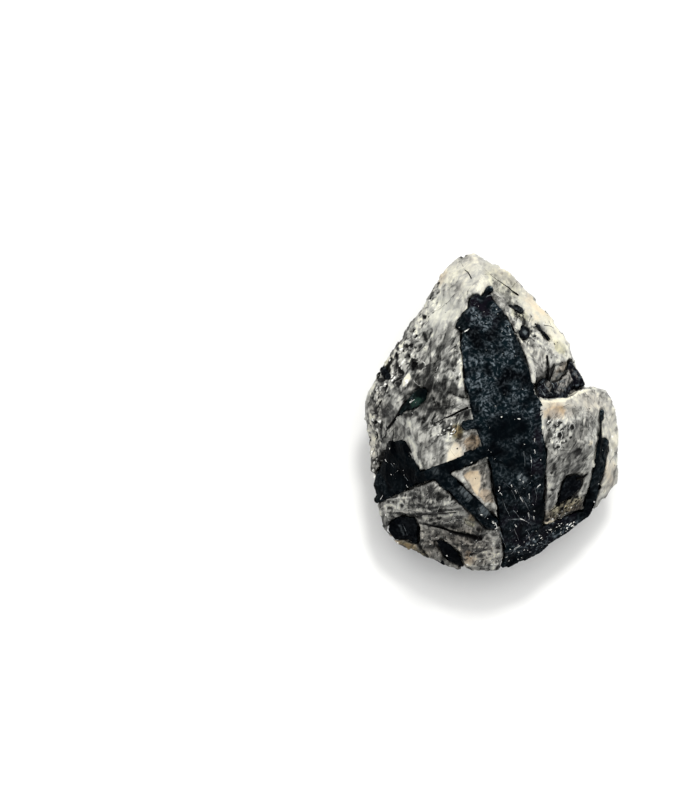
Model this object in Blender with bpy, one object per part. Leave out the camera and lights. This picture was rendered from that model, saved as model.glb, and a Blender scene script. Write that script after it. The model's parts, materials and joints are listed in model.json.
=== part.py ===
"""Black rutilated quartz chunk: one grey quartz mass with black crystals grown through it.

The chunk lies on its flat back. +X is to the right and +Y towards the pointed end, seen from above.
Every length in the tables below is in millimetres, and MM turns it into metres.
"""

import math
import random

import bmesh
import bpy
from mathutils import Matrix, Vector
from mathutils.bvhtree import BVHTree

MM = 0.001
UP = Vector((0, 0, 1))

# The quartz mass.
BLOCK = 80  # the block that the faces are cut from
GAP = 0.3  # between a black crystal and the pocket it sits in
PROUD = 0.12  # how far the black crystals stand out of the quartz
FOOT_RECESS = 0.35  # how far they stay above the face that the chunk lies on
CARVED_PAST = 3.0  # how far a carving tool stands out of the quartz

# The widest outline, clockwise from the tip: x, y, height of the edge, then how far the face above
# and the face below that edge lean in, in degrees.
OUTLINE = (
    (-4.6, 25.1, 11.5, 28, 30),
    (-2.6, 25.4, 11.5, 24, 30),
    (2.3, 22.9, 12.5, 30, 22),
    (8.7, 16.3, 13.0, 33, 24),
    (19.4, 2.0, 11.5, 30, 20),
    (20.4, -1.5, 10.0, 26, 16),
    (20.4, -11.3, 9.0, 34, 22),
    (17.0, -15.4, 9.5, 38, 26),
    (7.8, -22.2, 11.0, 30, 30),
    (0.9, -25.4, 10.5, 34, 24),
    (-5.0, -25.2, 10.0, 30, 22),
    (-15.8, -21.5, 9.5, 36, 28),
    (-17.3, -19.2, 9.5, 33, 24),
    (-18.0, -15.6, 10.0, 30, 18),
    (-20.3, -0.4, 11.5, 26, 20),
    (-19.9, 3.1, 12.0, 30, 24),
    (-15.3, 10.7, 12.5, 34, 20),
    (-7.7, 22.6, 12.0, 32, 26),
)

# The faces that look up: a point on the face, its tilt from level and the way it looks, in degrees
# anticlockwise from +X.
FRONT_FACES = (
    (-9.0, 0.0, 24.6, 9, 190),  # left of the big blade
    (10.0, -2.0, 24.2, 12, 350),  # right of it
    (-2.0, 11.5, 25.4, 33, 88),  # the face that runs down to the tip
    (-11.0, 11.5, 21.6, 43, 138),  # down to the upper left edge
    (9.0, 11.0, 22.4, 42, 44),  # down to the upper right edge
    (-17.6, -3.0, 20.0, 52, 178),  # the rough left band
    (-6.0, -15.5, 22.8, 30, 262),  # the lower left
    (17.4, -5.0, 19.6, 50, 2),  # the pale right rim
    (10.0, -15.0, 21.0, 40, 305),  # the lower right
)

# The faces that look down, given in the same way.
BACK_FACES = (
    (0.0, 0.0, 0.0, 180, 0),
    (-14.0, 4.0, 1.2, 152, 165),
    (-9.0, -18.0, 1.6, 146, 245),
    (8.0, -17.0, 1.4, 150, 300),
    (14.0, 3.0, 1.5, 148, 20),
    (0.0, 17.5, 1.8, 144, 95),
)

# Outlines of the crystals that show as flat patches, x and y, clockwise.
BLADE = (
    (-3.3, 18.0),
    (-2.6, 18.6),
    (-1.7, 18.2),
    (-0.3, 18.4),
    (0.2, 17.3),
    (1.1, 16.3),
    (2.1, 15.0),
    (3.0, 13.3),
    (3.9, 11.6),
    (5.4, 8.0),
    (6.2, 4.6),
    (6.5, 2.9),
    (7.6, 1.6),
    (8.0, -1.5),
    (8.3, -5.0),
    (8.3, -13.0),
    (8.0, -20.5),
    (5.5, -24.5),
    (2.5, -24.0),
    (1.9, -20.5),
    (0.7, -13.5),
    (-0.1, -9.0),
    (-1.6, -5.0),
    (-2.6, -2.3),
    (-3.5, 1.5),
    (-4.1, 4.6),
    (-4.8, 10.4),
    (-4.7, 12.2),
    (-4.0, 13.3),
    (-3.4, 16.0),
)
BLADE_FLOOR = ((-1, 17, 4), (3, -22, 5), (6, 0, 9))  # x, y and depth below the surface
LEFT_WEDGE = (
    (-16.3, -4.7),
    (-13.9, -4.5),
    (-12.8, -6.1),
    (-11.2, -10.4),
    (-14.5, -12.0),
    (-17.9, -13.7),
    (-18.6, -11.7),
    (-17.4, -8.0),
)
LOWER_LEFT_PATCH = (
    (-16.1, -17.6),
    (-14.6, -16.6),
    (-12.2, -17.0),
    (-11.7, -18.1),
    (-11.7, -21.0),
    (-13.6, -20.4),
    (-15.2, -20.2),
    (-16.2, -18.9),
)
BOTTOM_ROD = (
    (-8.9, -20.5),
    (-7.9, -20.3),
    (-6.6, -21.2),
    (-5.3, -22.5),
    (-4.3, -24.8),
    (-6.6, -23.9),
    (-8.0, -22.1),
)
RIGHT_BLADE = (
    (17.1, -4.7),
    (17.9, -4.2),
    (18.6, -4.7),
    (18.3, -7.0),
    (17.7, -10.2),
    (16.9, -13.2),
    (16.1, -15.4),
    (14.6, -17.0),
    (15.1, -14.1),
    (16.2, -10.6),
    (16.8, -6.9),
)
CRUST = (
    (16.0, -15.6),
    (15.2, -17.6),
    (12.2, -20.0),
    (8.0, -22.8),
    (3.9, -24.6),
    (1.6, -25.3),
    (3.1, -20.5),
    (8.7, -18.2),
    (11.1, -17.3),
    (13.5, -16.2),
)
NUB = (
    (-5.8, 13.6),
    (-5.0, 14.7),
    (-3.9, 15.9),
    (-3.2, 16.7),
    (-3.0, 13.4),
    (-4.0, 13.2),
    (-5.1, 12.9),
)
HORN = (
    (-1.4, 17.8),
    (-1.25, 18.7),
    (-0.9, 19.4),
    (-0.4, 19.8),
    (0.0, 19.65),
    (-0.05, 19.3),
    (-0.45, 19.25),
    (-0.75, 18.7),
    (-0.8, 17.9),
)
STUB = (
    (-4.8, -2.3),
    (-4.6, -1.5),
    (-3.8, -1.2),
    (-2.4, -1.4),
    (-2.1, -2.6),
    (-3.4, -2.8),
    (-4.3, -2.8),
)
UPPER_STUB = (
    (4.3, 12.7),
    (4.7, 13.5),
    (5.4, 13.6),
    (5.9, 13.0),
    (5.9, 12.2),
    (5.3, 11.7),
    (4.7, 11.8),
)
SPOT = (
    (-13.9, 1.0),
    (-12.9, 2.6),
    (-11.4, 3.6),
    (-10.5, 3.4),
    (-10.7, 2.0),
    (-12.1, 0.7),
    (-13.3, 0.4),
)
RIGHT_PATCH = (
    (11.8, -10.4),
    (13.2, -10.0),
    (14.2, -10.2),
    (14.2, -11.8),
    (12.9, -13.3),
    (10.5, -14.9),
    (11.1, -12.8),
)

# What is broken out of the quartz: an outline, then a floor as three points x, y and depth.
CARVINGS = {
    "notch": (
        (
            (13.2, 8.6),
            (16.5, 7.5),
            (17.5, 3.9),
            (14.7, 3.9),
            (11.9, 2.0),
            (7.2, 2.0),
            (6.0, 4.2),
            (8.6, 6.6),
            (11.4, 8.0),
        ),
        ((7, 3, 2.6), (15, 5, 2.2), (12, 8, 0.8)),
    ),
    "notch_mouth": (
        (
            (12.4, 10.6),
            (13.9, 6.2),
            (14.9, 3.9),
            (18.0, 3.4),
            (24.0, 5.0),
            (20.0, 10.0),
        ),
        ((14, 8, 10), (15, 5, 9), (18, 5, 11)),
    ),
    "lower_left_step": (
        (
            (-19.0, -15.2),
            (-11.0, -16.0),
            (-4.0, -15.8),
            (1.2, -19.6),
            (2.0, -27.0),
            (-8.0, -28.0),
            (-19.0, -24.0),
        ),
        ((-15, -16, 0.7), (-3, -16, 1.0), (-8, -24, 0.1)),
    ),
    "hollow_below_rod": (
        (
            (-4.9, -9.4),
            (0.2, -7.6),
            (1.0, -13.0),
            (-0.7, -14.8),
            (-3.3, -12.2),
        ),
        ((-4, -10, 1.2), (0, -9, 1.4), (-1, -14, 0.7)),
    ),
    "hollow_above_rod": (
        (
            (-7.4, -6.6),
            (-6.4, -4.2),
            (-2.6, -3.2),
            (-1.4, -5.2),
            (-3.4, -7.2),
            (-6.6, -8.4),
        ),
        ((-7, -6, 0.5), (-2, -4, 0.9), (-4, -8, 0.7)),
    ),
    "upper_left_step": (
        (
            (-12.6, 12.2),
            (-9.4, 15.6),
            (-6.4, 16.4),
            (-6.8, 21.0),
            (-14.0, 20.0),
            (-19.0, 11.0),
            (-18.0, 7.6),
        ),
        ((-13, 12, 0.7), (-8, 16, 0.8), (-12, 18, 0.1)),
    ),
}

# The two parts of the crystal in the notch.
NOTCH_BED = (
    (7.3, 2.4),
    (7.2, 4.2),
    (8.2, 5.2),
    (9.4, 4.4),
    (10.6, 4.8),
    (12.2, 6.0),
    (13.2, 4.4),
    (12.4, 2.8),
    (11.4, 2.3),
)
NOTCH_WEDGE = (
    (11.9, 6.4),
    (12.6, 8.1),
    (13.5, 7.0),
    (14.3, 5.7),
    (14.9, 4.3),
    (13.6, 3.9),
    (12.6, 4.2),
)

CORNER_CHIPS = (0.3, 0.8)  # how deep the broken corners are
CORNER_FLATNESS = 0.93  # flatter corners than this stay whole
CHIPS_FROM = 15  # height above which corners are broken
SCOOPS = 64
SCOOP_RADIUS = (5.0, 9.0)
SCOOP_DEPTH = (0.3, 0.75)
SEED = 11

BLACK = (0.011, 0.013, 0.015, 1)
GREY = (0.42, 0.42, 0.39, 1)


def clear_scene():
    for obj in list(bpy.data.objects):
        bpy.data.objects.remove(obj, do_unlink=True)


def material(name, colour, roughness, transmission=0.0):
    made = bpy.data.materials.new(name)
    made.use_nodes = True
    shader = made.node_tree.nodes["Principled BSDF"]
    shader.inputs["Base Color"].default_value = colour
    shader.inputs["Roughness"].default_value = roughness
    shader.inputs["Metallic"].default_value = 0.0
    shader.inputs["IOR"].default_value = 1.55
    shader.inputs["Transmission Weight"].default_value = transmission
    return made


def new_object(name, bm, finish=None):
    bmesh.ops.recalc_face_normals(bm, faces=bm.faces[:])
    mesh = bpy.data.meshes.new(name)
    bm.to_mesh(mesh)
    bm.free()
    obj = bpy.data.objects.new(name, mesh)
    bpy.context.scene.collection.objects.link(obj)
    if finish:
        mesh.materials.append(finish)
    return obj


def helper(obj):
    """Keeps an object as a cutter only."""
    obj.hide_render = True
    obj.display_type = "WIRE"
    return obj


def cut(bm, point, normal):
    """Cuts away what lies beyond a plane, and closes the cut."""
    everything = bm.verts[:] + bm.edges[:] + bm.faces[:]
    made = bmesh.ops.bisect_plane(
        bm, geom=everything, dist=1e-7, plane_co=point, plane_no=normal, clear_outer=True
    )
    edges = [part for part in made["geom_cut"] if isinstance(part, bmesh.types.BMEdge)]
    if edges:
        bmesh.ops.edgeloop_fill(bm, edges=edges)


def side_planes():
    """The planes above and below each stretch of the outline."""
    planes = []
    for here, there in zip(OUTLINE, OUTLINE[1:] + OUTLINE[:1]):
        start = Vector(here[:3]) * MM
        along = (Vector(there[:3]) * MM - start).normalized()
        outward = UP.cross(along).normalized()
        upward = along.cross(outward)
        above, below = (math.radians(lean) for lean in here[3:])
        planes.append((start, outward * math.cos(above) + upward * math.sin(above)))
        planes.append((start, outward * math.cos(below) - upward * math.sin(below)))
    return planes


def tilted_planes(faces):
    planes = []
    for x, y, z, tilt, facing in faces:
        tilt, facing = math.radians(tilt), math.radians(facing)
        level = Vector((math.cos(facing), math.sin(facing), 0))
        normal = level * math.sin(tilt) + UP * math.cos(tilt)
        planes.append((Vector((x, y, z)) * MM, normal))
    return planes


PLANES = side_planes() + tilted_planes(FRONT_FACES) + tilted_planes(BACK_FACES)


def front(x, y, above=0.0):
    """The point of the front surface at x, y, moved up by above, all in millimetres."""
    heights = [
        point.z + normal.dot(point - Vector((x * MM, y * MM, point.z))) / normal.z
        for point, normal in PLANES
        if normal.z > 0.01
    ]
    return Vector((x * MM, y * MM, min(heights) + above * MM))


def side(bearing, z, above=0.0):
    """The point of the surface at a height, in a direction in degrees anticlockwise from +X."""
    turned = math.radians(bearing)
    way = Vector((math.cos(turned), math.sin(turned), 0))
    axis = Vector((0, 0, z)) * MM
    reach = [
        (point - axis).dot(normal) / way.dot(normal)
        for point, normal in PLANES
        if way.dot(normal) > 0.01
    ]
    return axis + way * (min(reach) + above * MM)


def keep_inside(bm, proud, grow):
    """Cuts a crystal off where it would stand further than proud out of the quartz.

    A pocket, which is grown, stands out further and runs through the foot.
    """
    for point, normal in PLANES:
        recessed = normal.z < -0.99 and not grow
        room = -FOOT_RECESS if recessed else proud + 4 * grow
        cut(bm, point + normal * room * MM, normal)


def quartz_block():
    """The quartz mass inside its faces, with its corners broken off."""
    bm = bmesh.new()
    bmesh.ops.create_cube(bm, size=BLOCK * MM)
    for point, normal in PLANES:
        cut(bm, point, normal)
    bmesh.ops.recalc_face_normals(bm, faces=bm.faces[:])
    chance = random.Random(SEED)
    for corner, normal in sharp_corners(bm):
        skew = Vector([chance.uniform(-0.3, 0.3) for _ in range(3)])
        across = (normal + skew).normalized()
        cut(bm, corner - across * chance.uniform(*CORNER_CHIPS) * MM, across)
    bmesh.ops.recalc_face_normals(bm, faces=bm.faces[:])
    return bm


def sharp_corners(bm):
    """The place and the outward direction of each corner above the widest outline that stands out."""
    found = []
    for vert in bm.verts:
        outward = sum((face.normal for face in vert.link_faces), Vector()).normalized()
        flatness = max(outward.dot(face.normal) for face in vert.link_faces)
        if flatness < CORNER_FLATNESS and vert.co.z > CHIPS_FROM * MM:
            found.append((vert.co.copy(), outward))
    return found


def scoops(bm):
    """Shallow round scars, as where flakes of quartz have broken away."""
    chance = random.Random(SEED + 1)
    tree = BVHTree.FromBMesh(bm)
    centre = Vector((0, 0, 12)) * MM
    made = []
    while len(made) < SCOOPS:
        way = Vector([chance.gauss(0, 1) for _ in range(3)]).normalized()
        radius = chance.uniform(*SCOOP_RADIUS)
        depth = chance.uniform(*SCOOP_DEPTH)
        stretch = chance.uniform(0.55, 1.0)
        turn = chance.uniform(0, math.tau)
        hit, normal, _, _ = tree.ray_cast(centre + way * BLOCK * MM, -way)
        if normal.z < -0.6:
            continue
        ball = bmesh.new()
        bmesh.ops.create_icosphere(ball, subdivisions=3, radius=radius * MM)
        shape = (
            Matrix.Translation(hit + normal * (radius - depth) * MM)
            @ normal.to_track_quat("Z", "Y").to_matrix().to_4x4()
            @ Matrix.Rotation(turn, 4, "Z")
            @ Matrix.Diagonal((1, stretch, 1, 1))
        )
        bmesh.ops.transform(ball, matrix=shape, verts=ball.verts[:])
        made.append(helper(new_object("scoop_%02d" % len(made), ball)))
    return made


def widened(outline, by):
    """A clockwise or anticlockwise outline with each side moved out by the same distance."""
    points = [Vector(point) for point in outline]
    area = sum(a.cross(b) for a, b in zip(points, points[1:] + points[:1]))
    side = by if area > 0 else -by
    wide = []
    for before, here, after in zip(points[-1:] + points[:-1], points, points[1:] + points[:1]):
        first = (here - before).normalized()
        second = (after - here).normalized()
        out_first = Vector((first.y, -first.x))
        out_second = Vector((second.y, -second.x))
        middle = (out_first + out_second).normalized()
        wide.append(here + middle * side / max(0.35, middle.dot(out_first)))
    return wide


def sloping(points, above=0.0):
    """A plane that looks up, through three points given as x, y and depth below the surface."""
    a, b, c = (front(x, y, above - depth) for x, y, depth in points)
    normal = (b - a).cross(c - a).normalized()
    return a, normal if normal.z > 0 else -normal


def slab(outline, floor, top=None, proud=PROUD, grow=0.0):
    """A crystal with upright sides over an outline, from a sloping floor to just above the quartz."""
    bm = bmesh.new()
    around = [bm.verts.new((x * MM, y * MM, -5 * MM)) for x, y in widened(outline, grow)]
    base = bm.faces.new(around)
    sides = bmesh.ops.extrude_face_region(bm, geom=[base])
    raised = [part for part in sides["geom"] if isinstance(part, bmesh.types.BMVert)]
    bmesh.ops.translate(bm, vec=(0, 0, 50 * MM), verts=raised)
    bmesh.ops.recalc_face_normals(bm, faces=bm.faces[:])
    point, normal = sloping(floor, -grow)
    cut(bm, point, -normal)
    if top:
        cut(bm, *sloping(top, 4 * grow))
    keep_inside(bm, proud, grow)
    return bm


def strip(start, end, width, depth, top=None, proud=PROUD, grow=0.0):
    """A straight rod that lies in the front surface, with chisel ends. start and end are x, y."""
    start, end = Vector(start), Vector(end)
    along = (end - start).normalized()
    across = Vector((-along.y, along.x)) * width / 2
    tip = along * width * 0.45
    outline = (start - along * 0.1, start + tip + across, end - tip * 0.6 + across, end)
    outline += (end - tip - across, start + tip * 0.5 - across)
    beside = start + across * 4
    floor = [(place.x, place.y, depth) for place in (start, end)]
    deepest = front(beside.x, beside.y).z - front(start.x, start.y).z
    floor.append((beside.x, beside.y, depth + deepest / MM))
    return slab(outline, floor, top, proud, grow)


def bar(start, end, radius, sides=6, turn=0.0, proud=PROUD, grow=0.0):
    """A straight prism from start to end, cut off just above the quartz."""
    bm = bmesh.new()
    along = end - start
    bmesh.ops.create_cone(
        bm,
        cap_ends=True,
        segments=sides,
        radius1=(radius + grow) * MM,
        radius2=(radius + grow) * MM,
        depth=along.length + 2 * grow * MM,
    )
    place = (
        Matrix.Translation((start + end) / 2)
        @ along.to_track_quat("Z", "Y").to_matrix().to_4x4()
        @ Matrix.Rotation(math.radians(turn), 4, "Z")
    )
    bmesh.ops.transform(bm, matrix=place, verts=bm.verts[:])
    keep_inside(bm, proud, grow)
    return bm


def main_crystal(grow=0.0):
    """The big blade, with the rods, the wedge and the right-hand blade grown together with it."""
    return [
        slab(BLADE, BLADE_FLOOR, proud=0.2, grow=grow),
        slab(LEFT_WEDGE, ((-16, -6, 3), (-13, -10, 3), (-17, -12, 3)), grow=grow),
        strip((-12.4, -10.9), (1.5, -5.2), 1.7, 1.6, proud=0.55, grow=grow),
        strip((-18.4, -14.1), (-10.0, -10.0), 0.9, 1.2, proud=0.25, grow=grow),
        strip((-8.9, -9.2), (0.6, -18.4), 2.0, 1.8, proud=0.5, grow=grow),
        slab(CRUST, ((2, -24, 4), (15, -16.5, 4), (9, -18, 4)), grow=grow),
        slab(RIGHT_BLADE, ((17.5, -6, 4), (17, -12, 4), (15.5, -15, 4)), grow=grow),
        strip((17.7, 0.2), (17.3, -5.4), 0.36, 0.8, grow=grow),
        slab(NUB, ((-5, 14, 1.5), (-3, 15, 2), (-3.5, 13, 2)), proud=0.3, grow=grow),
        slab(HORN, ((-1, 19, 1.5), (0, 19, 1.5), (0, 20, 1.5)), proud=0.25, grow=grow),
        slab(STUB, ((-5, -2, 1.5), (-2, -2, 2), (-3, -3, 2)), proud=0.3, grow=grow),
    ]


def spot_crystal(grow=0.0):
    """The short dark crystal at the upper left, with the needle that runs on from it."""
    return [
        slab(SPOT, ((-13, 1, 1.6), (-11, 3, 1.6), (-11, 1, 1.6)), grow=grow),
        strip((-16.5, -2.7), (-13.1, 1.6), 0.4, 0.8, grow=grow),
    ]


def notch_crystal(grow=0.0):
    """The crystal in the notch: a low streaky bed and a glossy wedge at the rim."""
    bed_top = ((8, 3, 2.2), (12, 3, 2.0), (10, 6, 1.0))
    wedge_top = ((12, 4, 1.7), (15, 5, 0.9), (13, 7.5, 0.3))
    return [
        slab(NOTCH_BED, ((8, 3, 4.4), (12, 3, 4.4), (10, 6, 3.2)), top=bed_top, grow=grow),
        slab(NOTCH_WEDGE, ((12, 4, 4.6), (15, 5, 4), (13, 7.5, 3.2)), top=wedge_top, grow=grow),
    ]


def one(shape, *args, **options):
    """A crystal of a single bar or slab."""
    return lambda grow=0.0: [shape(*args, grow=grow, **options)]


STEP_FLOOR = CARVINGS["lower_left_step"][1]
CRYSTALS = {
    "main_black_crystal": main_crystal,
    "notch_black_crystal": notch_crystal,
    "upper_left_spot_crystal": spot_crystal,
    "right_black_patch": one(slab, RIGHT_PATCH, ((13, -10, 2), (14, -12, 2), (11, -14, 2))),
    "lower_left_black_patch": one(
        slab, LOWER_LEFT_PATCH, ((-15, -18, 4.2), (-12, -18, 5.2), (-13, -21, 3.8)), top=STEP_FLOOR
    ),
    "bottom_black_rod": one(
        slab, BOTTOM_ROD, ((-8.5, -21, 3.2), (-5, -23, 2.4), (-6.5, -24, 1.5)), top=STEP_FLOOR
    ),
    "upper_right_chip": one(strip, (2.7, 17.1), (5.0, 16.0), 0.7, 1.2),
    "upper_right_stub": one(slab, UPPER_STUB, ((4.5, 12, 1.8), (5.5, 12, 1.8), (5, 13.5, 1.8))),
    "upper_right_rod": one(strip, (7.2, 13.9), (9.4, 11.4), 0.55, 1.0),
    "left_edge_chip": one(strip, (-17.3, 7.0), (-16.2, 5.2), 0.8, 1.2),
    "left_side_rod": one(bar, side(166, 7, -0.6), side(186, 13, -0.6), 1.3, turn=20, proud=0.3),
    "left_low_rod": one(bar, side(196, 4, -0.5), side(208, 9, -0.5), 0.9, proud=0.3),
    "right_side_rod": one(bar, side(-24, 4.5, -0.5), side(-2, 8.5, -0.5), 1.2, turn=5, proud=0.3),
    "end_side_rod": one(bar, side(238, 6, -0.6), side(254, 9, -0.6), 1.5, turn=12, proud=0.3),
    "upper_right_side_rod": one(bar, side(35, 6, -0.5), side(52, 11, -0.5), 1.1, turn=30, proud=0.3),
    "upper_left_side_rod": one(bar, side(120, 6, -0.5), side(139, 10, -0.5), 1.0, turn=8, proud=0.3),
    "foot_black_rod": one(bar, Vector((-12, -2, 0.6)) * MM, Vector((-2, -13, 0.9)) * MM, 1.3, turn=15),
}


def union(name, parts, finish):
    """Joins overlapping shapes into one solid."""
    first = new_object(name, parts[0], finish)
    for number, part in enumerate(parts[1:]):
        other = helper(new_object("%s_piece_%d" % (name, number), part))
        join = first.modifiers.new("Join", "BOOLEAN")
        join.operation = "UNION"
        join.object = other
    return first


def main():
    clear_scene()
    quartz_finish = material("cloudy quartz", GREY, 0.35, 0.3)
    black_finish = material("black crystal", BLACK, 0.3)

    block = quartz_block()
    cutters = bpy.data.collections.new("cutters")
    for cutter in scoops(block):
        cutters.objects.link(cutter)
    for name, (outline, floor) in CARVINGS.items():
        cutters.objects.link(helper(new_object(name, slab(outline, floor, proud=CARVED_PAST))))
    quartz = new_object("quartz_mass", block, quartz_finish)

    for name, shapes in CRYSTALS.items():
        union(name, shapes(), black_finish)
        for number, shape in enumerate(shapes(grow=GAP)):
            cutters.objects.link(helper(new_object("%s_pocket_%d" % (name, number), shape)))

    carve = quartz.modifiers.new("Carve", "BOOLEAN")
    carve.operation = "DIFFERENCE"
    carve.operand_type = "COLLECTION"
    carve.collection = cutters


main()
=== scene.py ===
"""A rough chunk of cloudy grey quartz, with black crystals grown through it, dressed for a render.

The solids of the frame give every place and size. Each one is remade as a fine mesh, its surface is
broken and grained, and needles, glints and stains are added to it. Lengths are in metres, and the
tables of places are in millimetres, seen from above with +Y towards the pointed end.
"""

import json
import math
import random

import bmesh
import bpy
import numpy as np
from bpy.props import FloatProperty, FloatVectorProperty, IntProperty, PointerProperty
from bpy.types import Operator, Panel, PropertyGroup
from mathutils import Matrix, Vector, noise
from mathutils.bvhtree import BVHTree
from mathutils.kdtree import KDTree

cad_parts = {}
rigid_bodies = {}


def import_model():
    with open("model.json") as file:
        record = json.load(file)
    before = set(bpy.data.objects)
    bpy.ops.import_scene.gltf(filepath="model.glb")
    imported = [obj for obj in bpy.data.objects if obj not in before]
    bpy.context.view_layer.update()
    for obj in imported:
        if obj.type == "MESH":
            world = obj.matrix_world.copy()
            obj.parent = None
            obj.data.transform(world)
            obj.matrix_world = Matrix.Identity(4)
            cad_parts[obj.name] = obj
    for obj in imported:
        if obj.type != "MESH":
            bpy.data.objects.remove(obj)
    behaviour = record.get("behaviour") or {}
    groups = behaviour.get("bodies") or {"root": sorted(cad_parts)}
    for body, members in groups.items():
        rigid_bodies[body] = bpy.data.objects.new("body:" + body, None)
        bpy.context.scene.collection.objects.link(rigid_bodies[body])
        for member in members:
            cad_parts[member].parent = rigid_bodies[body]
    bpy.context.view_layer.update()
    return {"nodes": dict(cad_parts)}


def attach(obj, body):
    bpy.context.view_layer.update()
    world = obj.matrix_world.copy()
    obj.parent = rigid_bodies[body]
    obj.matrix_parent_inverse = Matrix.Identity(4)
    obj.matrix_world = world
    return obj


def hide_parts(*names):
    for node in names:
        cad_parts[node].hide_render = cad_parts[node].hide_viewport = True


bl_info = {
    "name": "Black rutilated quartz chunk",
    "version": (1, 0, 0),
    "blender": (4, 5, 0),
    "location": "View3D > Sidebar > Quartz chunk",
    "description": "Builds a rough quartz chunk with black crystals around its solids",
    "category": "Add Mesh",
}

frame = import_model()

MM = 0.001
QUARTZ = "quartz_mass"
BLADE = "main_black_crystal"
WEDGE = "notch_black_crystal"
GREEN_SPOT = "upper_left_spot_crystal"
BLACK_NODES = sorted(name for name in frame["nodes"] if name != QUARTZ)

MIDDLE = Vector((0, 0, 12 * MM))  # of the chunk
RAY_HEIGHT = 60 * MM  # from where rays look down on the front
RAY_REACH = 80 * MM  # how far from the middle rays start that look for any side
FRONT_FOOT = 7 * MM  # the painted marks of the front stay above this height
SHARD_FOOT = 6 * MM  # and its flakes and crumbs above this one
LOOSE_FOOT = 0.6 * MM  # those of the sides and the back stay above this one
CORE_INSET = 0.22 * MM  # how far inside a black crystal's edge the quartz starts to sink below it
POCKET_FILL = 0.42 * MM  # how far the quartz closes in on the pockets of the black crystals
SEED = 7

# How the surface is broken. Shares of a length are plain numbers.
CHIP_LEAN = 1.6  # how steeply the facets lean
CHIP_WANDER = 0.12  # how far the facets' edges wander, in widths of a facet
FOOT_EDGE = (0.15 * MM, 1.4 * MM)  # between these heights the roughness grows from none to full
FACE_EDGE = 0.15 * MM  # half the width of a painted face's soft edge
PITS_ON_LEFT = 0.55  # the share of the pits that lie in the rough band on the left
LEFT_BAND = (-19.5, -11.0)  # from where to where that band runs in X, in millimetres
PIT_RADII = (0.3, 0.85)  # in millimetres
PIT_DEPTH = 0.7  # in radii

# The fine things on the surface. Lengths are in millimetres here, and shares are of a shard's length.
NEEDLE_STEP = 0.5
NEEDLE_WANDER = 0.05
NEEDLE_TAPER = 0.75  # how much thinner the far end of a needle is, as a share
HAIR_LENGTHS = (1.2, 2.0, 3.0, 5.0)
LOOSE_SIZES = (0.15, 0.55)
SHARD_HALF_WIDTHS = (0.18, 0.34)
SHARD_THICKNESS = 0.24
SHARD_UNEVEN = 0.09

# The view: the picture's size, and where the middle of the chunk stands in it.
PICTURE = (700, 798)
CHUNK_AT = (490.85, 411.9)
PIXEL = 0.16 * MM  # how wide a pixel is at the chunk's widest outline
OUTLINE_HEIGHT = 11.0 * MM

# Pale, dark and stained places of the quartz. Besides its own milky and stained tones they hold painted
# light and shade: paler at the tip and the upper edges that face the light, darker lower down. x, y,
# half length, half width, turn in degrees, then how much lighter and how much warmer the quartz is there.
VEILS_AND_PAINTED_LIGHT = {
    "tip": (-1.7, 22.7, 8.0, 3.6, 10, 0.28, 0.12),
    "tip_window": (-5.3, 19.6, 2.6, 1.2, 80, -0.16, 0.0),
    "tip_left_slope": (-7.8, 18.0, 6.0, 2.2, 60, 0.15, 0.0),
    "upper_right_edge": (8.8, 14.6, 8.5, 2.1, -51, 0.46, 0.12),
    "above_left_crease": (-6.5, 15.6, 4.0, 3.4, 0, 0.22, 0.0),
    "right_of_blade": (8.2, 9.4, 3.4, 2.4, 0, 0.14, 0.0),
    "chips_by_blade": (5.4, 13.2, 2.2, 1.8, -50, -0.2, 0.0),
    "middle_left": (-10.0, 4.0, 4.8, 3.4, 20, -0.31, 0.0),
    "white_patch": (-13.4, 4.8, 1.3, 0.5, 80, 0.45, 0.0),
    "blade_left_edge": (-4.8, 6.0, 4.0, 0.5, 84, 0.16, 0.0),
    "left_speckled": (-7.5, -0.6, 3.6, 3.0, 0, -0.24, 0.0),
    "below_spot": (-12.6, -3.6, 3.0, 2.0, 60, 0.05, 0.0),
    "left_band": (-18.0, -2.0, 9.0, 2.0, 88, 0.04, 0.1),
    "left_low_band": (-17.0, -14.0, 3.0, 1.6, 80, 0.1, 0.1),
    "above_step": (-9.5, -13.6, 6.5, 1.5, 4, -0.22, 0.05),
    "below_step": (-9.5, -17.4, 7.5, 1.8, -4, -0.05, 0.08),
    "bottom": (-5.5, -21.2, 6.5, 3.2, -8, -0.11, 0.38),
    "bottom_edge": (-2.0, -24.4, 3.4, 0.9, 4, 0.22, 0.25),
    "right_block_top": (12.7, 0.9, 6.0, 1.9, -3, 0.2, 0.15),
    "right_block_middle": (11.8, -8.6, 3.2, 4.2, 0, 0.02, 0.0),
    "right_rim": (18.9, -6.0, 8.5, 1.7, 88, 0.3, 0.14),
    "right_low_corner": (12.2, -15.9, 4.4, 1.3, 30, -0.04, 0.45),
    "cream_facet": (-5.7, -6.3, 2.1, 1.2, 70, 0.26, 0.12),
    "tan_blob": (-3.1, -4.9, 1.6, 1.3, -60, 0.02, 0.6),
    "peach_hollow": (-2.0, -11.4, 2.6, 1.8, -60, 0.16, 0.35),
    "faint_peach": (10.8, 0.2, 2.3, 1.2, 0, 0.0, 0.4),
    "bottom_peach": (-3.3, -23.9, 1.4, 0.8, 0, 0.2, 0.7),
    "rim_peach": (18.9, -9.8, 1.8, 1.0, 90, 0.1, 0.5),
    "upper_right_yellow": (7.4, 16.6, 2.4, 1.0, -50, 0.1, 0.6),
    "upper_left_yellow": (-8.0, 21.2, 1.4, 0.7, 60, 0.1, 0.6),
    "lower_left_tan": (-13.6, -21.8, 3.4, 1.1, -22, 0.0, 0.9),
}

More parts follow.
